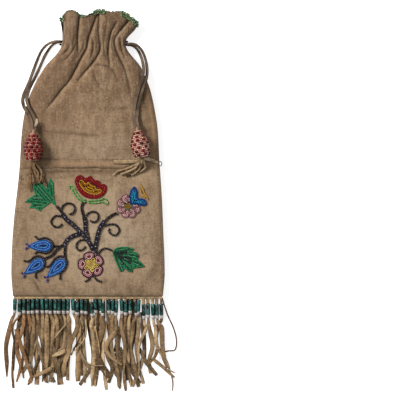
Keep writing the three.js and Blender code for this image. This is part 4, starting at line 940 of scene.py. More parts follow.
# Each strip's points, widths and colour.
TASSELS = {
    "left_tassel": [
        ([(-60.8, 154, 22.6), (-63, 146, 19), (-64.8, 137, 16.6), (-66.8, 121, 15.7)], [3, 4, 4.2, 3.6],
         RUST_STRIP),
        ([(-60.8, 154, 22.2), (-62, 145, 18.6), (-62, 136, 16.4), (-60.6, 127, 15.7)], [2, 2, 2, 1.6],
         TAN_STRIP),
        ([(-60.8, 154, 23), (-59.6, 146, 19.8), (-56, 140, 17.6), (-57, 131, 15.9)], [2, 2.2, 2.2, 1.8],
         TAN_STRIP),
        ([(-60.8, 154, 22.4), (-56.6, 148, 19), (-52, 141, 17), (-53.4, 131, 15.8)], [2.2, 2.4, 2.4, 2],
         TAN_STRIP),
        ([(-60.8, 154, 22.8), (-61, 146, 20), (-58.4, 138, 17.6), (-54.4, 129, 15.8)], [2.4, 2.6, 2.6, 2.4],
         RUST_STRIP),
        ([(-60.8, 154, 21.6), (-62.6, 147, 18), (-65, 141, 16.4), (-68.4, 137, 15.8)], [3, 3.4, 3, 2.4],
         BROWN_STRIP),
        ([(-60.8, 154, 21.2), (-59.6, 143, 17), (-59.4, 136, 15.8), (-59, 128, 15.4)], [4, 9, 10, 7],
         SHADED_STRIP),
        ([(-57.6, 141, 16), (-52, 134, 15.6), (-47, 126, 15.4)], [4, 4.8, 3.2], SHADED_STRIP),
        ([(-57.4, 201.6, 18.6), (-57.2, 197.6, 19.4), (-59, 192, 21.6)], [2, 4, 2.4], PALE_STRIP),
    ],
    "right_tassel": [
        ([(63.3, 156, 22.2), (56, 153.4, 18), (44, 152.8, 15), (29.7, 152.6, 14.4)], [3.2, 4.6, 5, 4.6],
         LIGHT_STRIP),
        ([(63.3, 156, 21.8), (56.4, 150.4, 18.4), (44, 145, 15), (34, 142, 14.3), (28.6, 137.4, 14.2)],
         [2.2, 2.6, 2.6, 2.6], LIGHT_STRIP),
        ([(63.3, 156, 22.4), (58.6, 149, 18.6), (49, 143, 15.4), (37.5, 138.6, 14.4)], [2.2, 2.6, 2.6, 2.4],
         LIGHT_STRIP),
        ([(63.3, 156, 22), (61.4, 149, 18.6), (56.4, 142, 15.6), (49.6, 137.4, 14.4)], [2.2, 2.4, 2.4, 2],
         TAN_STRIP),
        ([(63.3, 156, 22.6), (65, 150, 18.6), (65.4, 146, 15.8), (59.6, 141.4, 14.4)], [2.2, 2.4, 2.4, 1.8],
         LIGHT_STRIP),
        ([(63.3, 156, 22.2), (69, 155.4, 17.6), (75, 153.8, 15), (79.4, 151.6, 13.6)], [2.6, 4.2, 4.6, 2.6],
         PALE_STRIP),
        ([(63.3, 156, 21.6), (59.6, 147, 17.4), (51, 140.6, 14.6), (43, 136.6, 14.1)], [3.2, 7, 6, 3],
         SHADED_STRIP),
        ([(63.3, 156, 21.4), (57, 148.6, 17), (47, 146, 14.4), (36, 142, 14)], [3.2, 7, 6.4, 3],
         SHADED_STRIP),
    ],
}
TASSEL_CURL = 0.3
TASSEL_THICK = 1.0
TASSEL_TONES = {"left_tassel": 0.74, "right_tassel": 0.8}
for name, runs in TASSELS.items():
    strips = []
    for k, (line, widths, colour) in enumerate(runs):
        twists = [0.2, 0.7 - 0.45 * (k % 3), -0.5 * (k % 2), 0.3]
        tint = np.array(colour) * TASSEL_TONES[name]
        strips.append((line, widths, twists, TASSEL_CURL, TASSEL_THICK, tint))
    hide_strips(name + "_strips", strips, strip_paint.material)
    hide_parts(name)

# The thongs' lengths; the outer ones end in the knobs, the inner ones in a knot.
THONG_LENGTHS = {"left_outer_thong": 0.135, "left_inner_thong": 0.13,
                 "right_outer_thong": 0.13, "right_inner_thong": 0.126}
for name, length in THONG_LENGTHS.items():
    outer = "outer" in name
    knobs[name.split("_")[0] + "_knob"] if outer else []

# Fringe: a header of hide in the bottom seam, cut into strips.
# Each strip carries a dark green glass sleeve and a white bead, then hangs free and lies on the table.
FRINGE_PITCH = 161.6 / 33
MIDDLE_STRIP = 16.5
STRIP_THICK = 0.9
SLEEVE_SPREAD = 1.03
SLEEVE_LENGTH = 13.4
SLEEVE_RADIUS = 2.45
BEAD_LENGTH = 3.8
BEAD_RADIUS = 2.15
# Each strip's sideways shift 38 and 58 mm below the seam and at its tip, and how far down its tip is.
FRINGE_RUNS = [
    (-9.5, -12, -12, 93), (-11, -10, -10, 106), (-4, -9, -10, 99), (-1, -5, -8, 95), (-2, -2, -2, 92),
    (-3, -5, -2, 102), (-1, -1, 0, 99), (-1, -1, -2, 100), (1, 1, 9, 102), (1, 1, -6, 99), (0, 1, -2, 95),
    (1, -1, -12, 68), (0, 0, -7, 93), (6, 7, 5, 98), (-1, -8, -10, 97), (0, 1, 4, 100), (-2, -13, -17, 68),
    (2, 3, 1, 104), (0, 3, 1, 104), (4, -3, -5, 103), (2, -1, 4, 108), (8, 0, 14, 81), (0, -1, 7, 105),
    (0, 0, 5, 107), (1, 4, 7, 109), (0, 2, 8, 104), (0, -1, 1, 104), (0, -2, 6, 105), (1, 0, 0, 92),
    (5, -2, 1, 101), (4, 7, 5, 89), (6, 8, 23, 91), (8, 9, 12, 83),
]
FIRST_TAN, FIRST_LOOSE, FIRST_LOW = 4, 16, 29
WIDE, WIDE_STRIPS = 7.2, (8, 12, 13, 19, 21)
NARROW, NARROW_STRIPS = 3, (1, 16)
SLIPPED_SLEEVES = (1, 14)
STRIP_TINTS = [TAN_STRIP, LIGHT_STRIP, TAN_STRIP, BROWN_STRIP, LIGHT_STRIP, TAN_STRIP, BROWN_STRIP, TAN_STRIP]
fringe_rng = np.random.default_rng(29)
header = [(x, 0.4, POUCH_MIDDLE) for x in (-84.6, 0, 84.6)]
strips = [(header, [8, 8, 8], [0, 0], 0, 1.2, LIGHT_STRIP)]
sleeves, whites = [], []


def hung_sleeve(x, slip, tilt):
    """A strip's neck with its sleeve and bead; gives its root and the point where it runs free."""
    root = np.array([x, -1.6, POUCH_MIDDLE])
    foot = root + np.array([tilt, -1.2 - slip - SLEEVE_LENGTH - BEAD_LENGTH, -4.4])
    way = (foot - root) / np.linalg.norm(foot - root)
    bead = foot - way * BEAD_LENGTH
    whites.append((bead, way))
    sleeves.append((bead - way * (SLEEVE_LENGTH + 0.2), way))
    return root, foot


for i, (first, second, last, length) in enumerate(FRINGE_RUNS):
    loose = i >= FIRST_LOOSE
    x = FRINGE_PITCH * (i - MIDDLE_STRIP)
    if i >= FIRST_LOW:
        slip = fringe_rng.uniform(5, 6.6)
    else:
        slip = fringe_rng.uniform(0, 4.4 if loose else 1) + 2 * (i in SLIPPED_SLEEVES)
    tilt = fringe_rng.uniform(-1, 1) * (2.3 if loose else 1) + 0.12 * first
    root, foot = hung_sleeve(SLEEVE_SPREAD * x, slip, tilt)
    rest = 0.7 + 1.15 * (i * 2 % 5) / 1.6
    wide = WIDE if i in WIDE_STRIPS else fringe_rng.uniform(4.4, 6.6)
    wide = NARROW if i in NARROW_STRIPS else wide
    shade = fringe_rng.uniform(0.6, 1.35)
    colour = RUST_STRIP if i < FIRST_TAN else STRIP_TINTS[fringe_rng.integers(len(STRIP_TINTS))]
    line = [root, foot, (x + 0.7 * first, foot[1] - 7, rest + 0.8), (x + first, -38, rest),
            (x + second + fringe_rng.uniform(-1.8, 1.8), -58, rest + fringe_rng.uniform(0, 1)),
            (x + 0.45 * second + 0.55 * last + fringe_rng.uniform(-3, 3), -58 - 0.55 * (length - 58), rest),
            (x + last + fringe_rng.uniform(-2, 2), -length, 0.7 + 1.1 * ((i + 1) % 2))]
    swing = fringe_rng.uniform(-1, 1, 5) * (0.5, 0.9, 1.2, 1.3, 1)
    tip = fringe_rng.choice([0.35, 0.75, 1])
    widths = [2.4 + 0.3 * slip, 2.8, 0.8 * wide, wide, wide, 0.9 * wide, tip * wide]
    curl = fringe_rng.uniform(0.05, 0.4)
    strips.append((line, widths, [0, 0, *swing], curl, STRIP_THICK, np.array(colour) * shade))
# Strips darkened as painted shade lie under these, two of them rooted below the sleeves; others, also
# darkened as painted shade, slant across their tips.
BARE_ROOTS = (39, 62)
for x in [*np.linspace(-78, -27, 11), -9, -4, 0, 11, 17, 23, 29, *np.linspace(*BARE_ROOTS, 5)]:
    top = (x, -19, 2) if x in BARE_ROOTS else (x, -2.6, 5.4)
    sway, length = fringe_rng.uniform(-9, 9), fringe_rng.uniform(64, 98)
    colour = BROWN_STRIP if fringe_rng.random() < 0.4 else DARK_STRIP
    colour = np.array(colour) * fringe_rng.uniform(0.5, 0.85)
    line = [top, (x, -24, 1.2), (x + 0.3 * sway, -40, 0.6), (x + 0.8 * sway, -58, 0.6),
            (x + sway, -length, 0.6)]
    twists = [0, 0, *fringe_rng.uniform(-0.7, 0.7, 2), 0.1]
    strips.append((line, [5.4, 5.4, 5.4, 3.4], twists, 0.3, STRIP_THICK, colour))
for x in [*np.linspace(-66, -30, 6), *np.linspace(-4, 66, 11)]:
    top, length = fringe_rng.uniform(48, 68), fringe_rng.uniform(88, 106)
    slant = fringe_rng.uniform(5, 15) * fringe_rng.choice([-1, 1])
    colour = np.array(STRIP_TINTS[fringe_rng.integers(len(STRIP_TINTS))]) * fringe_rng.uniform(0.35, 0.85)
    middle = (x, -0.5 * (top + length), fringe_rng.uniform(2.4, 3.4))
    line = [(x - 0.6 * slant, -top, 2), middle, (x + slant, -length, 1)]
    strips.append((line, [3.4, 5, 4], fringe_rng.uniform(-0.7, 0.7, 3), 0.15, STRIP_THICK, colour))
# Strips that lie across the others, and thin cut-offs, with their widths.
for line, wide, colour in (
    ([(-82, -38, 4.4), (-77, -57, 5), (-65, -92, 4), (-69, -102, 2.6)], 5, RUST_STRIP),
    ([(-26, -62.6, 5.6), (-34, -66, 6), (-41, -69, 5)], 5.4, LIGHT_STRIP),
    ([(-41.6, -82.6, 5), (-52, -88, 5.4), (-63, -93, 4)], 5, TAN_STRIP),
    ([(-20.4, -27, 4.6), (-32, -40, 5.4), (-42, -53, 5.8)], 1.7, LIGHT_STRIP),
    ([(-2.8, -27, 4), (-3, -46, 5), (-11, -58, 5.4), (-19, -65.6, 5)], 1.9, LIGHT_STRIP),
    ([(-1.4, -76.6, 4.6), (6, -79.6, 5), (17, -80, 4.6)], 1.6, LIGHT_STRIP),
    ([(31.4, -41, 5), (20.6, -57, 5.4), (25, -68.6, 5.4), (38.4, -79, 4.4)], 5.4, TAN_STRIP),
    ([(79, -61, 4.6), (76, -70, 4.8), (67.6, -79.4, 4)], 4, BROWN_STRIP),
    ([(75.6, -73.6, 4.4), (84, -80.4, 4.2), (92, -88, 3.4), (98.6, -93.6, 2.2)], 4, TAN_STRIP),
    ([(94.6, -86, 3), (99.6, -88.6, 2.4)], 1.6, TAN_STRIP),
    ([(95.4, -92, 2), (96.6, -101, 1.4), (96, -109.6, 1)], 1.7, BROWN_STRIP),
):
    widths = [wide, wide, 0.85 * wide, 0.5 * wide]
    strips.append((line, widths, [0.2, -0.3, 0.3], 0.15, STRIP_THICK, colour))
# The last strip is short, and a thin dark thread hangs in a long bow from the header's right end.
root, foot = hung_sleeve(SLEEVE_SPREAD * FRINGE_PITCH * MIDDLE_STRIP, 6.2, 0.6)
short_line = [root, foot, (80, -34, 1.6), (78, -50, 1)]
strips.append((short_line, [2.4, 3.6, 4.4, 3], [0, 0.3, -0.3], 0.2, STRIP_THICK, BROWN_STRIP))
thread_line = [(84.4, -2, 6.6), (87, -11, 5.6), (91.4, -24, 2.4), (97.2, -37, 1.2), (100.6, -50, 1.2),
               (99.4, -61.6, 1.2), (91.6, -63.4, 1.1), (86.6, -64.6, 1)]
strips.append((thread_line, [1.7, 1.7, 1.6, 1.6], [0, 0.2, -0.2], 0.1, 1.1, DARK_STRIP))
fringe = hide_strips("fringe_strips", strips, strip_paint.material)
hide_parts("fringe")
# A tube's rings: how far down it each is, and how wide.
TUBE_RINGS = [(0, 0.5), (0, 0.86), (0.06, 1), (0.5, 0.99), (0.94, 1), (1, 0.86), (1, 0.5)]
TUBE_SIDES = 10


def glass_tubes(name, places, length, radius, material):
    """Short round tubes on the strips, each given as (top in millimetres, direction)."""
    points, faces, rounds, downs = [], [], [], []
    for top, axis in places:
        across = np.cross(axis, (0, 0, 1.0))
        across /= np.linalg.norm(across)
        above = np.cross(across, axis)
        faces += ring_faces(len(points), len(TUBE_RINGS), TUBE_SIDES)
        for part, wide in TUBE_RINGS:
            for k in range(TUBE_SIDES):
                angle = 2 * math.pi * k / TUBE_SIDES
                spoke = across * math.cos(angle) + above * math.sin(angle)
                spot = top + axis * length * part + radius * wide * spoke
                points.append(at(spot[0], spot[1], max(spot[2], TABLE_GAP)))
                # Where round the tube and how far down it each point is, for the sleeve paint's painted shade
                # and highlights.
                rounds.append(abs(math.sin(angle)))
                downs.append(part)
    made = mesh_object(name, points, faces)
    set_points(made, "round", "FLOAT", rounds)
    set_points(made, "down", "FLOAT", downs)
    made.data.materials.append(material)
    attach(made, "root")
    return made


sleeve_paint = Shader("green_tube_glass", Roughness=0.14, Coat_Weight=0.7, Coat_Roughness=0.06)
sleeve_streak = sleeve_paint.between(sleeve_paint.noise(180, 2), 0.42, 0.68)
sleeve_round = sleeve_paint.attribute("round")
sleeve_tone = sleeve_paint.between(sleeve_paint.noise(110, 1), 0.38, 0.62)
sleeve_green = sleeve_paint.layer(srgb(2, 26, 25), (sleeve_tone, (5, 66, 54)))
# Painted shade: each tube is near black on its sides and green on its top and underside.
sleeve_base = sleeve_paint.mix(sleeve_paint.between(sleeve_round, 0.25, 1), srgb(1, 4, 5), sleeve_green)
# Painted shadow at the top of each tube, under the header, and painted highlight streaks along its top.
sleeve_shade = sleeve_paint.between(sleeve_paint.attribute("down"), 0.5, 0) * 0.7
sleeve_lit = sleeve_paint.between(sleeve_round, 0.7, 1) * sleeve_streak * 0.75
sleeve_base = sleeve_paint.layer(sleeve_base, (sleeve_shade, (4, 8, 8)), (sleeve_lit, (84, 170, 158)))
sleeve_paint.finish(Base_Color=sleeve_base)
sleeve_glass = glass_tubes("fringe_sleeves", sleeves, SLEEVE_LENGTH, SLEEVE_RADIUS, sleeve_paint.material)
white_paint = Shader("white_glass", Roughness=0.3, Coat_Weight=0.3)
white_mottle = white_paint.between(white_paint.noise(400, 2), 0.4, 0.7)
white_paint.finish(Base_Color=white_paint.layer(srgb(204, 196, 190), (white_mottle, (168, 156, 148))))
white_glass = glass_tubes("fringe_white_beads", whites, BEAD_LENGTH, BEAD_RADIUS, white_paint.material)

# Beadwork: rows of glass seed beads sewn to both lower panels, outline rows first, then rows inside them.
# Places are in percent of the panel, across from its middle line and up from the bottom seam.
SEED_BEAD = (0.0013, 0.0016, 0.0014)
BEAD_PITCH = 1.34
BEAD_GAP = 1.16
ROW_PITCH = 1.56
ROW_SLACK = 0.08
ROW_BREAK = 1.5
MOST_ROWS = 12
RIB_ROWS = 10
EDGE_INSET = 0.8
LEAF_INSET = 1.7
COVER_EDGE = 0.4
ACROSS = 1.75
UP = 1.46
FRONT_Z = 12.7
BACK_Z = 1.9


def spot(place):
    """A place in millimetres."""
    return np.array([place[0] * ACROSS, place[1] * UP])


def beside(place, right, above):
    """The place so many millimetres off another."""
    return (place[0] + right / ACROSS, place[1] + above / UP)


def away_from(point, segment):
    """How far a point is from a straight line between two others."""
    start, end = segment
    run = end - start
    t = np.clip(np.dot(point - start, run) / np.dot(run, run), 0, 1)
    return np.hypot(*(point - start - run * t))


def depth_inside(point, outline):
    """How far a point lies within a closed outline, or less than nothing outside it."""
    x, y = outline.T
    x2, y2 = np.roll(x, -1), np.roll(y, -1)
    crosses = (y > point[1]) != (y2 > point[1])
    slope = np.where(y2 == y, 1e-9, y2 - y)
    inside = np.count_nonzero(crosses & (point[0] < (x2 - x) * (point[1] - y) / slope + x)) % 2 == 1
    return np.min(np.hypot(*(outline - point).T)) * (1 if inside else -1)


def evenly(points, pitch=0.3):
    """A closed outline resampled at an even pitch."""
    closed = np.vstack([points, points[:1]])
    walked = measured(closed)
    return walk_to(closed, walked, np.arange(0, walked[-1], pitch))


def inside_rows(outline, inset):
    """The lines that lie the given distance inside a closed outline."""
    x, y = outline.T
    turn = np.sign(np.sum(x * np.roll(y, -1) - np.roll(x, -1) * y))
    run = np.roll(outline, -1, 0) - np.roll(outline, 1, 0)
    run /= np.linalg.norm(run, axis=1)[:, None]
    inner = outline + turn * inset * np.stack([-run[:, 1], run[:, 0]], axis=1)
    gaps = np.min(np.hypot(*(inner[:, None] - outline[None]).transpose(2, 0, 1)), axis=1)
    kept = inner[gaps > inset - ROW_SLACK]
    if len(kept) < 3:
        return []
    jumps = np.hypot(*(np.roll(kept, -1, 0) - kept).T) > ROW_BREAK
    if not jumps.any():
        return [np.vstack([kept, kept[:1]])]
    kept = np.roll(kept, -1 - np.argmax(jumps), axis=0)
    breaks = 1 + np.flatnonzero(np.hypot(*np.diff(kept, axis=0).T) > ROW_BREAK)
    return [line for line in np.split(kept, breaks) if len(line) > 2]


class Beadwork:
    """The beads on one face; a new bead is left out where one is already sewn."""

    def __init__(self):
        self.places = np.zeros((0, 2))
        self.rows = {}
        self.grounds = {}
        self.covered = []

    def sew(self, owner, point, turn, colour, size=1.0):
        if len(self.places) and np.min(np.hypot(*(self.places - point).T)) < BEAD_GAP:
            return
        near = [line for line in self.covered if np.all(np.abs(point - line.mean(0)) < np.ptp(line, 0))]
        if any(depth_inside(point, line) > -COVER_EDGE for line in near):
            return
        self.places = np.vstack([self.places, point])
        self.rows.setdefault(owner, []).append((point, turn, colour, size))

    def row(self, owner, line, colour, size=1.0):
        """Beads along a line of points in millimetres, colour being one or a list taken in turn."""
        colours = colour if isinstance(colour, list) else [colour]
        walked = measured(line)
        count = max(int(round(walked[-1] / (BEAD_PITCH * (0.55 + 0.45 * size)))), 1)
        for k in range(count):
            walk = (k + 0.5) * walked[-1] / count + np.array([-0.3, 0, 0.3])
            behind, point, ahead = walk_to(line, walked, walk)
            turn = math.atan2(*(ahead - behind)[::-1])
            self.sew(owner, point, turn, colours[k % len(colours)], size)

    def stem(self, owner, places, lanes, size=1.0):
        """A sewn line of rows side by side, each lane with its colour or list of colours."""
        line = smooth_path([spot(place) for place in places], 10)
        run = np.gradient(line, axis=0)
        run /= np.linalg.norm(run, axis=1)[:, None]
        side = np.stack([-run[:, 1], run[:, 0]], axis=1)
        for k, colour in enumerate(lanes):
            self.row(owner, line + side * (k - (len(lanes) - 1) / 2) * ROW_PITCH * size, colour, size)

    def fill(self, owner, outline, colours, size=1.0):
        """Rows inside a closed outline, each inside the last, until it is full; the last colour repeats."""
        self.grounds.setdefault(owner, []).append((outline, colours))
        for k in range(MOST_ROWS):
            for line in inside_rows(outline, (EDGE_INSET + k * ROW_PITCH) * size):
                self.row(owner, line, colours[min(k, len(colours) - 1)], size)
        self.covered.append(outline)

    def leaf(self, owner, outline, base, tips, edge, lanes):
        """A leaf: an outline row, then rows beside the rib of each lobe."""
        self.grounds.setdefault(owner, []).append((outline, lanes))
        for line in inside_rows(outline, EDGE_INSET):
            self.row(owner, line, edge)
        ribs = [(spot(base), spot(tip)) for tip in tips]
        for rib in ribs:
            along = rib[1] - rib[0]
            length = np.hypot(*along)
            along = along / length
            side = np.array([-along[1], along[0]])
            for k in range(-RIB_ROWS, RIB_ROWS + 1):
                for walk in np.arange(0.4, length + 4, BEAD_PITCH):
                    point = rib[0] + along * walk + side * k * ROW_PITCH
                    nearest = min(ribs, key=lambda other: away_from(point, other))
                    if nearest is rib and depth_inside(point, outline) > LEAF_INSET:
                        self.sew(owner, point, math.atan2(along[1], along[0]), lanes[abs(k) % len(lanes)])
        self.covered.append(outline)


def traced(places, rounded=False):
    """A closed outline through places, straight between them or rounded."""
    points = [spot(place) for place in places]
    if rounded:
        return evenly(smooth_path(points[-1:] + points + points[:2], 6)[6:-7])
    return evenly(np.array(points))


def disc(place, width):
    """A round outline."""
    angle = np.linspace(0, 2 * np.pi, 90, endpoint=False)
    return evenly(spot(place) + width / 2 * np.stack([np.cos(angle), np.sin(angle)], axis=1))


def star(place, points, angle, far, near):
    """A star with that many rounded points, the first at that angle in degrees."""
    t = np.linspace(0, 2 * np.pi, 90, endpoint=False)
    reach = (far + near) / 2 + (far - near) / 2 * np.cos(points * (t - math.radians(angle)))
    return evenly(spot(place) + reach[:, None] * np.stack([np.cos(t), np.sin(t)], axis=1))


def teardrop(foot, tip, girth):
    """A bud: round at its foot and drawn out to a point."""
    start, along = spot(foot), spot(tip) - spot(foot)
    side = np.array([-along[1], along[0]]) / np.hypot(*along)
    t = np.linspace(0, 1, 50) ** 2
    half_girth = girth / 2 * 2.6 * np.sqrt(t) * (1 - t)
    right = start + along * t[:, None] - side * half_girth[:, None]
    left = start + along * t[:, None] + side * half_girth[:, None]
    return evenly(np.vstack([right, left[::-1][1:-1]]))


def petal(place, angle, near, far, girth):
    """A rounded petal standing out from a flower's middle."""
    way = np.array([math.cos(math.radians(angle)), math.sin(math.radians(angle))])
    side = np.array([-way[1], way[0]])
    t = np.linspace(0, 2 * np.pi, 90, endpoint=False)
    along = (near + far) / 2 + (far - near) / 2 * np.cos(t)
    wide = girth / 2 * np.sin(t) * (0.86 + 0.14 * np.cos(t))
    return evenly(spot(place) + way * along[:, None] + side * wide[:, None])


ground_paint = Shader("bead_gap_shade", Roughness=0.9)
ground_mottle = ground_paint.between(ground_paint.noise(900, 3), 0.35, 0.7)
ground_tint = ground_paint.attribute("tint", "Color")
ground_paint.finish(Base_Color=ground_paint.layer(ground_tint, (ground_mottle * 0.5, (40, 32, 28))))


def gap_shade_sheet(name, grounds, mirror, low, high):
    """A thin sheet under filled motifs, each given as (outline in millimetres, colours), at half their first
    colour: painted shade in the gaps between beads.
    """
    points, faces, tints = [], [], []
    for outline, colours in grounds:
        line = outline[::3]
        x, y = line.T
        turn = mirror * np.sign(np.sum(x * np.roll(y, -1) - np.roll(x, -1) * y))
        line = line if turn > 0 else line[::-1]
        start, count = len(points), len(line)
        points += [at(mirror * x, y, level) for level in (low, high) for x, y in line]
        tints += [np.array(colours[0]) * 0.5] * (2 * count)
        faces.append(tuple(range(start + count - 1, start - 1, -1)))
        faces.append(tuple(range(start + count, start + 2 * count)))
        for k in range(count):
            a, b = start + k, start + (k + 1) % count
            faces.append((a, b, b + count, a + count))
    made = mesh_object(name, points, faces, smooth=False)
    set_points(made, "tint", "FLOAT_COLOR", tints)
    made.data.materials.append(ground_paint.material)
    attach(made, "root")
    return made


# Every fourth bead of a navy lane is light grey, a painted glint.
NAVY = [srgb(40, 38, 66), srgb(26, 24, 40), srgb(132, 132, 158), srgb(30, 28, 48)]
BLACK = [srgb(30, 26, 30), srgb(20, 17, 20), srgb(44, 38, 42)]
# A stem's rows and the size of their beads, by the number of rows side by side.
STEMS = {1: ([BLACK], 1.7), 2: ([BLACK, BLACK], 1.2), 3: ([BLACK, NAVY, BLACK], 1.2)}
TENDRIL = ([BLACK], 1.75)
EMERALD = srgb(22, 134, 84)
LEAF_GLINT = srgb(70, 148, 100)
FOREST = srgb(10, 78, 48)
PINE = srgb(10, 42, 32)
LEAF = srgb(58, 152, 62)
LIME = srgb(112, 184, 96)
OLIVE = srgb(116, 128, 66)
TEAL = srgb(36, 112, 84)
SCARLET = srgb(160, 20, 20)
CRIMSON = srgb(130, 10, 20)
BLOOD = srgb(100, 10, 22)
GOLD = srgb(204, 152, 36)
AMBER = srgb(160, 98, 28)
OLD_GOLD = srgb(176, 146, 70)
LEMON = srgb(230, 196, 100)
ROSE = srgb(198, 142, 144)
BLUSH = srgb(210, 172, 164)
MAUVE = srgb(150, 104, 108)
PLUM = srgb(80, 36, 54)
VIOLET = srgb(100, 84, 146)
SKY = srgb(92, 158, 216)
AZURE = srgb(22, 86, 164)
COBALT = srgb(28, 70, 168)
CERULEAN = srgb(34, 108, 184)
INK = srgb(22, 28, 76)
PEARL = srgb(238, 218, 204)

# Beadwork on the front: a branching dark stem with leaves, flowers, buds and a butterfly.
# The motifs are sewn first, and the stems run up to them and end in curled tendrils.
face = Beadwork()
upper_leaf = traced([(-20.3, 69.6), (-21.7, 75.3), (-22.3, 88.2), (-24.4, 92.4), (-25.7, 87.5),
                     (-25.9, 83.8), (-28.1, 85.5), (-30.7, 88.7), (-35.2, 87.5), (-35.7, 84.5),
                     (-34.3, 79.1), (-38.8, 75.7), (-41.1, 73.2), (-36.3, 72.1), (-38.1, 68.5),
                     (-34.9, 68.6), (-30.8, 66), (-29, 68.6), (-23.9, 73)])
face.leaf("front_upper_leaf", upper_leaf, (-20.8, 70.4),
          [(-24.2, 91.9), (-33.8, 87.8), (-40.8, 73.2), (-37.9, 68.9), (-30.9, 66.4)],
          EMERALD, [LEAF_GLINT, FOREST, EMERALD, FOREST])
red_centre = traced([(-5.5, 90.5), (-3.1, 90.2), (-1.1, 87.7), (0.7, 89), (2.2, 86.7), (4.8, 85.6),
                     (6, 83.4), (8.4, 83.4), (9.3, 81.7), (7.7, 79.5), (4.5, 78.9), (1, 79.6), (-2, 81.6),
                     (-4.3, 84.7), (-5.6, 87.7)], rounded=True)
face.fill("front_red_flower_centre", red_centre, [GOLD, AMBER, GOLD, AMBER, GOLD])
red_flower = traced([(-8.1, 87.7), (-8.3, 90.5), (-7, 93.4), (-4.3, 94.4), (-1.3, 92.1), (1.9, 93.7),
                     (4.2, 90.9), (7.7, 89.8), (8.6, 87.2), (11, 87.4), (12.5, 84.9), (12, 81.4),
                     (10.1, 78.2), (6.9, 76.3), (2.7, 75.9), (-1.1, 76.8), (-4.3, 79.3), (-6.7, 83.1)],
                     rounded=True)
face.fill("front_red_flower", red_flower, [CRIMSON, SCARLET, CRIMSON, BLOOD])
for line in ([(-12.1, 85), (-10.9, 86), (-9.1, 84.9), (-8, 82.4), (-6.7, 79.6), (-4.5, 76.6), (-1.8, 74.9)],
             [(-12.1, 84.5), (-10.2, 83.3), (-9, 80.1), (-6.4, 75.9), (-3.1, 73.9), (-0.8, 73.6)],
             [(0.1, 74), (4.5, 74.5), (8.3, 74.9), (10.3, 76.2), (12.3, 75), (13.3, 72.3)],
             [(0.5, 72.9), (5.1, 72.4), (9.5, 73.4), (11.5, 72.1), (13.3, 71.6)]):
    face.stem("front_red_flower_sepals", line, [[LEAF, LEAF, LIME]], 1.1)
pink = (26.6, 70.2)
butterfly = traced([(30, 85.4), (28, 82.7), (27.1, 79.1), (27.2, 75.5), (27.7, 72.5), (29.2, 71),
                    (32.2, 71), (36.7, 70.2), (38.5, 71.6), (37.7, 74.6), (35.7, 76.1), (33, 76.3),
                    (32.6, 78.5), (32.5, 81.5), (31.2, 84.5)], rounded=True)
face.fill("front_butterfly", butterfly, [srgb(14, 56, 126), srgb(24, 114, 168), srgb(40, 148, 178)])
for feeler in ([(33.8, 86.9), (35.7, 83.9), (36.7, 80), (39.1, 75.8)],
               [(34.3, 82.7), (35.1, 79.6), (37.3, 76.8)]):
    face.stem("front_butterfly", feeler, [[GOLD, OLD_GOLD]], 1.2)
face.fill("front_pink_flower_centre", disc(beside(pink, -1, -0.6), 8), [OLIVE, AMBER, OLIVE])
for k in range(8):
    face.fill("front_pink_flower", petal(pink, 22 + 45 * k, 2, 14.4, 12), [MAUVE, BLUSH, ROSE, BLUSH])
BUDS = [
    ((-23.4, 39.3), (-39.3, 38.9),
     [(-34.4, 46.9), (-31.8, 44.5), (-27.3, 45.4), (-23.7, 42.9), (-22.5, 39.3), (-23.9, 35.5),
      (-27.3, 33.5), (-31.8, 34.7), (-34.4, 33)],
      [[(-38.4, 39.4), (-40.6, 41.2)], [(-38.4, 38.4), (-40.8, 36.6)]]),
    ((-28.8, 27.8), (-41.5, 17),
     [(-41.5, 27.7), (-38.2, 27.2), (-34.8, 30.5), (-31.1, 31.1), (-28.2, 28.6), (-27.9, 24.5),
      (-29.9, 20.5), (-33.5, 18.3), (-33.7, 13.8)],
      [[(-41, 18), (-43.4, 18.2)], [(-40.6, 16.8), (-42, 14.4)]]),
    ((-14.8, 28.2), (-26.6, 14),
     [(-27, 22.7), (-24.3, 24.1), (-21.3, 29), (-18, 31.2), (-14.5, 29.6), (-13.5, 25.4), (-15, 20.9),
      (-17.6, 17.8), (-18, 12.9)], [[(-26.2, 15), (-28.6, 14.8)], [(-25.8, 13.8), (-26.6, 11)]]),
]
for k, (foot, tip, calyx, tails) in enumerate(BUDS):
    owner = f"front_bud_{k + 1}"
    face.stem(owner, calyx, *TENDRIL)
    face.fill(owner, teardrop(foot, tip, 13.6), [AZURE, SKY, COBALT, SKY, INK], 0.86)
    for tail in tails:
        face.stem(owner, tail, [[VIOLET, INK]], 1.6)
small = (2.2, 24.3)
face.fill("front_small_flower_centre", star(small, 5, 103 + 36, 9, 5.2), [LEMON, LEMON, GOLD], 0.86)
for k in range(5):
    face.fill("front_small_flower", petal(small, 103 + 72 * k, 3, 15.6, 16), [PLUM, ROSE, BLUSH, CRIMSON])
for tail in ([(3.1, 17.4), (2.4, 15.2), (0.6, 12.8), (-1.9, 11.2)],
             [(3.1, 17.4), (4.4, 14.8), (6.2, 12.4), (9, 11.2)]):
    face.stem("front_small_flower", tail, *TENDRIL)
lower_leaf = traced([(16, 34.2), (18.3, 37.4), (22, 38.6), (26.8, 38.3), (30.4, 36.8), (28.9, 34.9),
                     (32.5, 33.6), (33.3, 30.8), (32.1, 29.1), (37.3, 23.2), (34.1, 22.3), (29.4, 21.6),
                     (29.1, 18.5), (25.7, 19.4), (24.3, 21.8), (22.8, 19.2), (21, 19.1), (19.4, 23.5),
                     (17, 29.8)])
for vein in ([(17, 34), (21, 33.5), (25.7, 34.2)], [(18.1, 33.3), (21, 30.5), (24.6, 27.9), (28.6, 25.9)],
             [(21, 30.5), (22.3, 27.3), (23.3, 24.5)],
             [(23.9, 30.6), (28.4, 28.8)]):
    face.stem("front_lower_leaf", vein, [[PINE, BLACK[0]]], 1.3)
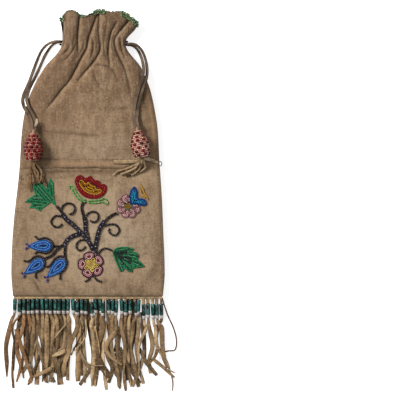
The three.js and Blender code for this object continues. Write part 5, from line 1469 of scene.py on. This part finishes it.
face.leaf("front_lower_leaf", lower_leaf, (16.6, 34.2),
          [(30.2, 36.6), (33.2, 31.1), (37, 23.2), (28.9, 18.8), (22, 19.2)],
          EMERALD, [FOREST, LEAF_GLINT, EMERALD, LEAF_GLINT])
for line, rows in (
    ([(4.8, 32.1), (2.6, 38.4), (-0.4, 43.8), (-4.9, 50.1), (-9.4, 55.4), (-13.9, 59.9), (-16.5, 64.4)], 3),
    ([(4.8, 32.1), (5.2, 39.3), (6.3, 46.5), (7.8, 52.7), (10, 57.2), (11, 58.4)], 3),
    ([(0.3, 43.8), (-1.3, 51), (-1.5, 57.2), (-2.3, 61.7)], 3),
    ([(-2.3, 46.9), (-4.9, 48.3), (-9.4, 46.9), (-13.1, 43.8), (-15.2, 39.8)], 3),
    ([(-15.4, 62.6), (-18.4, 68), (-20.4, 69.9)], 2),
    ([(-2.1, 59.9), (-3.8, 68), (-3, 72.4), (-0.8, 74.2)], 2),
    ([(9.3, 55.9), (13.8, 61.2), (17.5, 63.9), (20, 64.6)], 2),
    ([(-14.2, 41.1), (-18.4, 38.4), (-22, 39.1)], 2),
    ([(-15.4, 39.8), (-19.9, 36.2), (-22.8, 32.1), (-27.7, 29)], 2),
    ([(-14.5, 40.2), (-14.8, 33.9), (-14.6, 30.2)], 2),
    ([(6.3, 31.7), (8.5, 35.7), (11.2, 37.3), (13.8, 36.6), (16, 35.5)], 1),
    ([(-17.2, 66.2), (-16.1, 70.2), (-13.1, 72.4), (-9.8, 71.5), (-8.3, 68.4), (-9.4, 64.8), (-12, 63.7)], 1),
    ([(-16.9, 62.1), (-20.6, 62.6), (-23.2, 59.9), (-23.6, 56.8), (-21.3, 54.1), (-18.4, 54.1),
      (-16.5, 56.3)], 1),
    ([(-1.2, 59.9), (-0.4, 63.5), (2.2, 65.7), (5.6, 65.3), (7, 62.1), (5.9, 58.6), (3.3, 57.7), (1.4, 59)],
     1),
    ([(9.7, 54.1), (13, 55.6), (17.5, 55.9), (20.1, 53.2), (20.3, 50.1), (18.3, 47.5), (15.3, 48.3),
      (13.8, 51), (14.5, 52.7)], 1),
    ([(-0.4, 43.3), (-4.2, 43.8), (-6.8, 41.5), (-7.3, 38), (-5.7, 35.7), (-2.7, 36.6), (-1.3, 38.9)], 1),
):
    face.stem("front_stems", line, *STEMS[rows])

# Beadwork on the back, laid out as seen from behind: two leaves, a red flower, buds and a rose.
# The rose is one row wound in a spiral; the other motifs are filled like those on the front.
rear = Beadwork()
bright_leaf = traced([(-21.3, 63.4), (-16.4, 65.3), (-12.3, 67.8), (-9.4, 71.4), (-13.6, 73.4),
                      (-13.4, 83.6), (-17.6, 82.1), (-20.2, 78.8), (-24.2, 86.4), (-29.3, 80.5),
                      (-32.7, 84.1), (-36.6, 85.9), (-35.6, 80.5), (-35.9, 75.9), (-37.8, 73),
                      (-34.9, 67.8), (-33.8, 66), (-39.9, 62.4), (-37.2, 59.8), (-31.9, 57.1),
                      (-31.5, 52.8), (-26.6, 52.8), (-22.9, 57.8)])
rear.leaf("back_bright_leaf", bright_leaf, (-21.2, 64),
          [(-9.4, 71.2), (-13.6, 83.4), (-24.4, 85.9), (-36.3, 85.4), (-37.5, 73), (-39.5, 62.4),
           (-30.2, 53.3)], LIME, [TEAL, LIME, LEAF, LIME, LEAF, LIME, LEAF])
dark_leaf = traced([(20.6, 62.4), (15.7, 61.7), (11.1, 63.1), (9.2, 67.3), (10.8, 70.3), (10.5, 75),
                    (11.1, 80.5), (15.7, 78.8), (18.7, 76.4), (19.4, 80.9), (21.3, 85), (24.4, 83.6),
                    (30.4, 88.8), (31.4, 83.2), (31.2, 77.3), (35.5, 77.9), (33.4, 72.8), (30.4, 69.1),
                    (35.3, 69.4), (39.7, 67.3), (36.1, 64.9), (29.3, 63.7), (32.7, 58.6), (31.2, 54.9),
                    (26.2, 56.9), (22.5, 61.4)])
rear.leaf("back_dark_leaf", dark_leaf, (21, 63),
          [(9.6, 67.1), (11.3, 80), (21.3, 84.5), (30.3, 88.4), (35.2, 77.7), (39.2, 67.3), (31.7, 55.6)],
          srgb(80, 122, 66), [TEAL, EMERALD, OLIVE, TEAL, OLIVE, TEAL])
bloom = (0, 35.8)
rear.fill("back_red_flower_centre", disc(bloom, 11.6), [AMBER, GOLD, LEMON, GOLD])
for k in range(5):
    rear.fill("back_red_flower", petal(bloom, 87 + 72 * k, 4, 25.6, 22),
              [MAUVE, PLUM, CRIMSON, SCARLET, CRIMSON, PEARL, BLOOD])
for tail in ([(0.8, 22.4), (0.2, 19.6), (-1.7, 18.2), (-4.7, 17), (-7.7, 17.5)],
             [(0.8, 22.4), (1.9, 20), (4, 18), (7.4, 15.7)]):
    rear.stem("back_red_flower", tail, *TENDRIL)
BACK_BUDS = [
    ((-26.3, 34.6), (-28.3, 34.7), (-43.6, 35.2),
     [[(-28.9, 39.9), (-33.4, 41.7), (-37.2, 42.4), (-38.3, 45.1)],
      [(-29.7, 29.1), (-34.9, 27.9), (-38.7, 28.4), (-41, 26.6)]],
      [[(-43.8, 35.6), (-46.2, 38.2)], [(-43.8, 34.8), (-46.2, 32.8)]]),
    ((-23.2, 24.1), (-24.4, 22.1), (-35.3, 8.9),
     [[(-29.7, 20.9), (-34.2, 19.6), (-38, 19.3)], [(-24.4, 15.1), (-26.4, 10.7), (-27.8, 6.2)]],
     [[(-35.4, 9.2), (-36.9, 8.7)], [(-35.1, 8.6), (-34.8, 4.9)]]),
]
for k, (cap, foot, tip, wisps, tails) in enumerate(BACK_BUDS):
    rear.fill(f"back_bud_cap_{k + 1}", disc(cap, 9.8), [PLUM, BLOOD, CRIMSON])
    rear.fill(f"back_bud_{k + 1}", teardrop(foot, tip, 17), [CERULEAN, SKY, CERULEAN, SKY, CERULEAN, COBALT])
    for wisp in wisps:
        rear.stem(f"back_bud_{k + 1}", wisp, [[OLIVE, TEAL]], 1.4)
    for tail in tails:
        rear.stem(f"back_bud_{k + 1}", tail, [[VIOLET, PLUM]], 1.4)
rose = (31.9, 21.6)
rose_edge = disc(rose, 27)
rear.grounds["back_rose"] = [(rose_edge, [MAUVE])]
for turn, colour in enumerate([MAUVE, PLUM, BLUSH, MAUVE, PEARL, MAUVE, PEARL, MAUVE]):
    angle = np.linspace(2.4, 2.4 + 2 * math.pi, 60)
    reach = 12.6 - ROW_PITCH * (turn + np.linspace(0, 1, 60))
    rear.row("back_rose", spot(rose) + reach[:, None] * np.stack([np.cos(angle), np.sin(angle)], axis=1),
             colour)
rear.covered.append(rose_edge)
for line in ([(27, 29.3), (30.8, 32.7), (35.3, 32.7), (39.1, 29.8)],
             [(27, 26.6), (22.8, 24.8), (21.1, 20.2), (22.3, 16.2), (25.5, 13.9)]):
    rear.stem("back_rose", line, [FOREST, LEAF, OLIVE])
for line in ([(39.1, 26.1), (42.1, 23.9), (44.8, 23.4)], [(25.5, 13.6), (28.1, 10.7), (27.8, 7.6)]):
    rear.stem("back_rose", line, [[OLIVE, LEAF]], 1.3)
for owner, line, rows in (
    ("back_upper_left_stem", [(-5.5, 45.6), (-7.7, 49.7), (-11.5, 52.4), (-15.3, 54.2)], 3),
    ("back_upper_left_stem", [(-14.5, 53.8), (-17.9, 57.8), (-19.8, 60.5), (-21.2, 63)], 2),
    ("back_upper_left_stem", [(-9.6, 52.8), (-10.4, 57.8), (-10, 62.4), (-7.7, 66), (-4.4, 66.4),
                              (-1.9, 63.7), (-2.8, 59.6), (-5.9, 58.3), (-8.1, 59.6)], 1),
    ("back_upper_left_stem", [(-15.3, 54.7), (-18.7, 55.1), (-21.7, 52.8), (-22.1, 49.7), (-19.8, 47.4),
                              (-17.2, 48.3), (-16.1, 51)], 1),
    ("back_upper_right_stem", [(7.4, 45.1), (10.4, 48.8), (11.9, 52.4), (13, 56)], 3),
    ("back_upper_right_stem", [(12.6, 55.1), (15.7, 59.6), (19.8, 61.9)], 2),
    ("back_upper_right_stem", [(11.5, 56.5), (10, 60.5), (6.6, 63.1), (3.2, 62.4), (2.1, 59.6), (3.2, 56.5),
                               (5.8, 55.6), (7.7, 56.5)], 1),
    ("back_upper_right_stem",
     [(11.9, 48.8), (14.9, 51), (19.4, 51.9), (23.6, 49.2), (24.6, 45.6), (22.5, 42.4), (19.4, 42.9),
      (17.6, 46.1), (17.9, 48.3)], 1),
    ("back_bud_stem", [(-10.4, 31.6), (-14.5, 32.5), (-19.1, 33.8), (-23.2, 35.4)], 2),
    ("back_bud_stem", [(-13, 32), (-16.8, 31.1), (-19.5, 28.8), (-20.6, 26.4)], 2),
    ("back_rose_stem", [(11.5, 30.2), (14.9, 32), (19.4, 32.9), (23.2, 32), (25.5, 29.8), (27, 27)], 2),
    ("back_rose_stem", [(13.8, 30.2), (16.4, 28.4), (18.3, 24.8), (17.6, 20.7)], 1),
):
    rear.stem(owner, line, *STEMS[rows])

# Sewing on: each motif's beads stand on the hide of its face, with a thin dark sheet under the filled ones as
# painted shade between the beads.
# Those of the back are set mirrored, because their layout is read from behind.
BEAD_RISE = 0.35
BEAD_SWELL = 0.25
TABLE_REST = 0.72
GAP_SHADE_UNDER, GAP_SHADE_OVER = 0.7, 0.5
for work, mirror, height in ((face, 1, FRONT_Z), (rear, -1, BACK_Z)):
    for owner, sewn in work.rows.items():
        beads = []
        for point, turn, colour, size in sewn:
            tint = np.array(colour) * rng.uniform(0.8, 1.16)
            size = size * rng.uniform(0.95, 1.06)
            level = max(height + mirror * (BEAD_RISE + BEAD_SWELL * size), TABLE_REST * size)
            beads.append((at(mirror * point[0], point[1], level), (0, 0, mirror * turn), size, tint))
        beadwork = string_beads(owner + "_beads", beads, SEED_BEAD, glass_paint.material)
        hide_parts(owner)
    for owner, grounds in work.grounds.items():
        low, high = sorted((height - mirror * GAP_SHADE_UNDER, height + mirror * GAP_SHADE_OVER))
        gap_shade_sheet(owner + "_gap_shade", grounds, mirror, low, high)
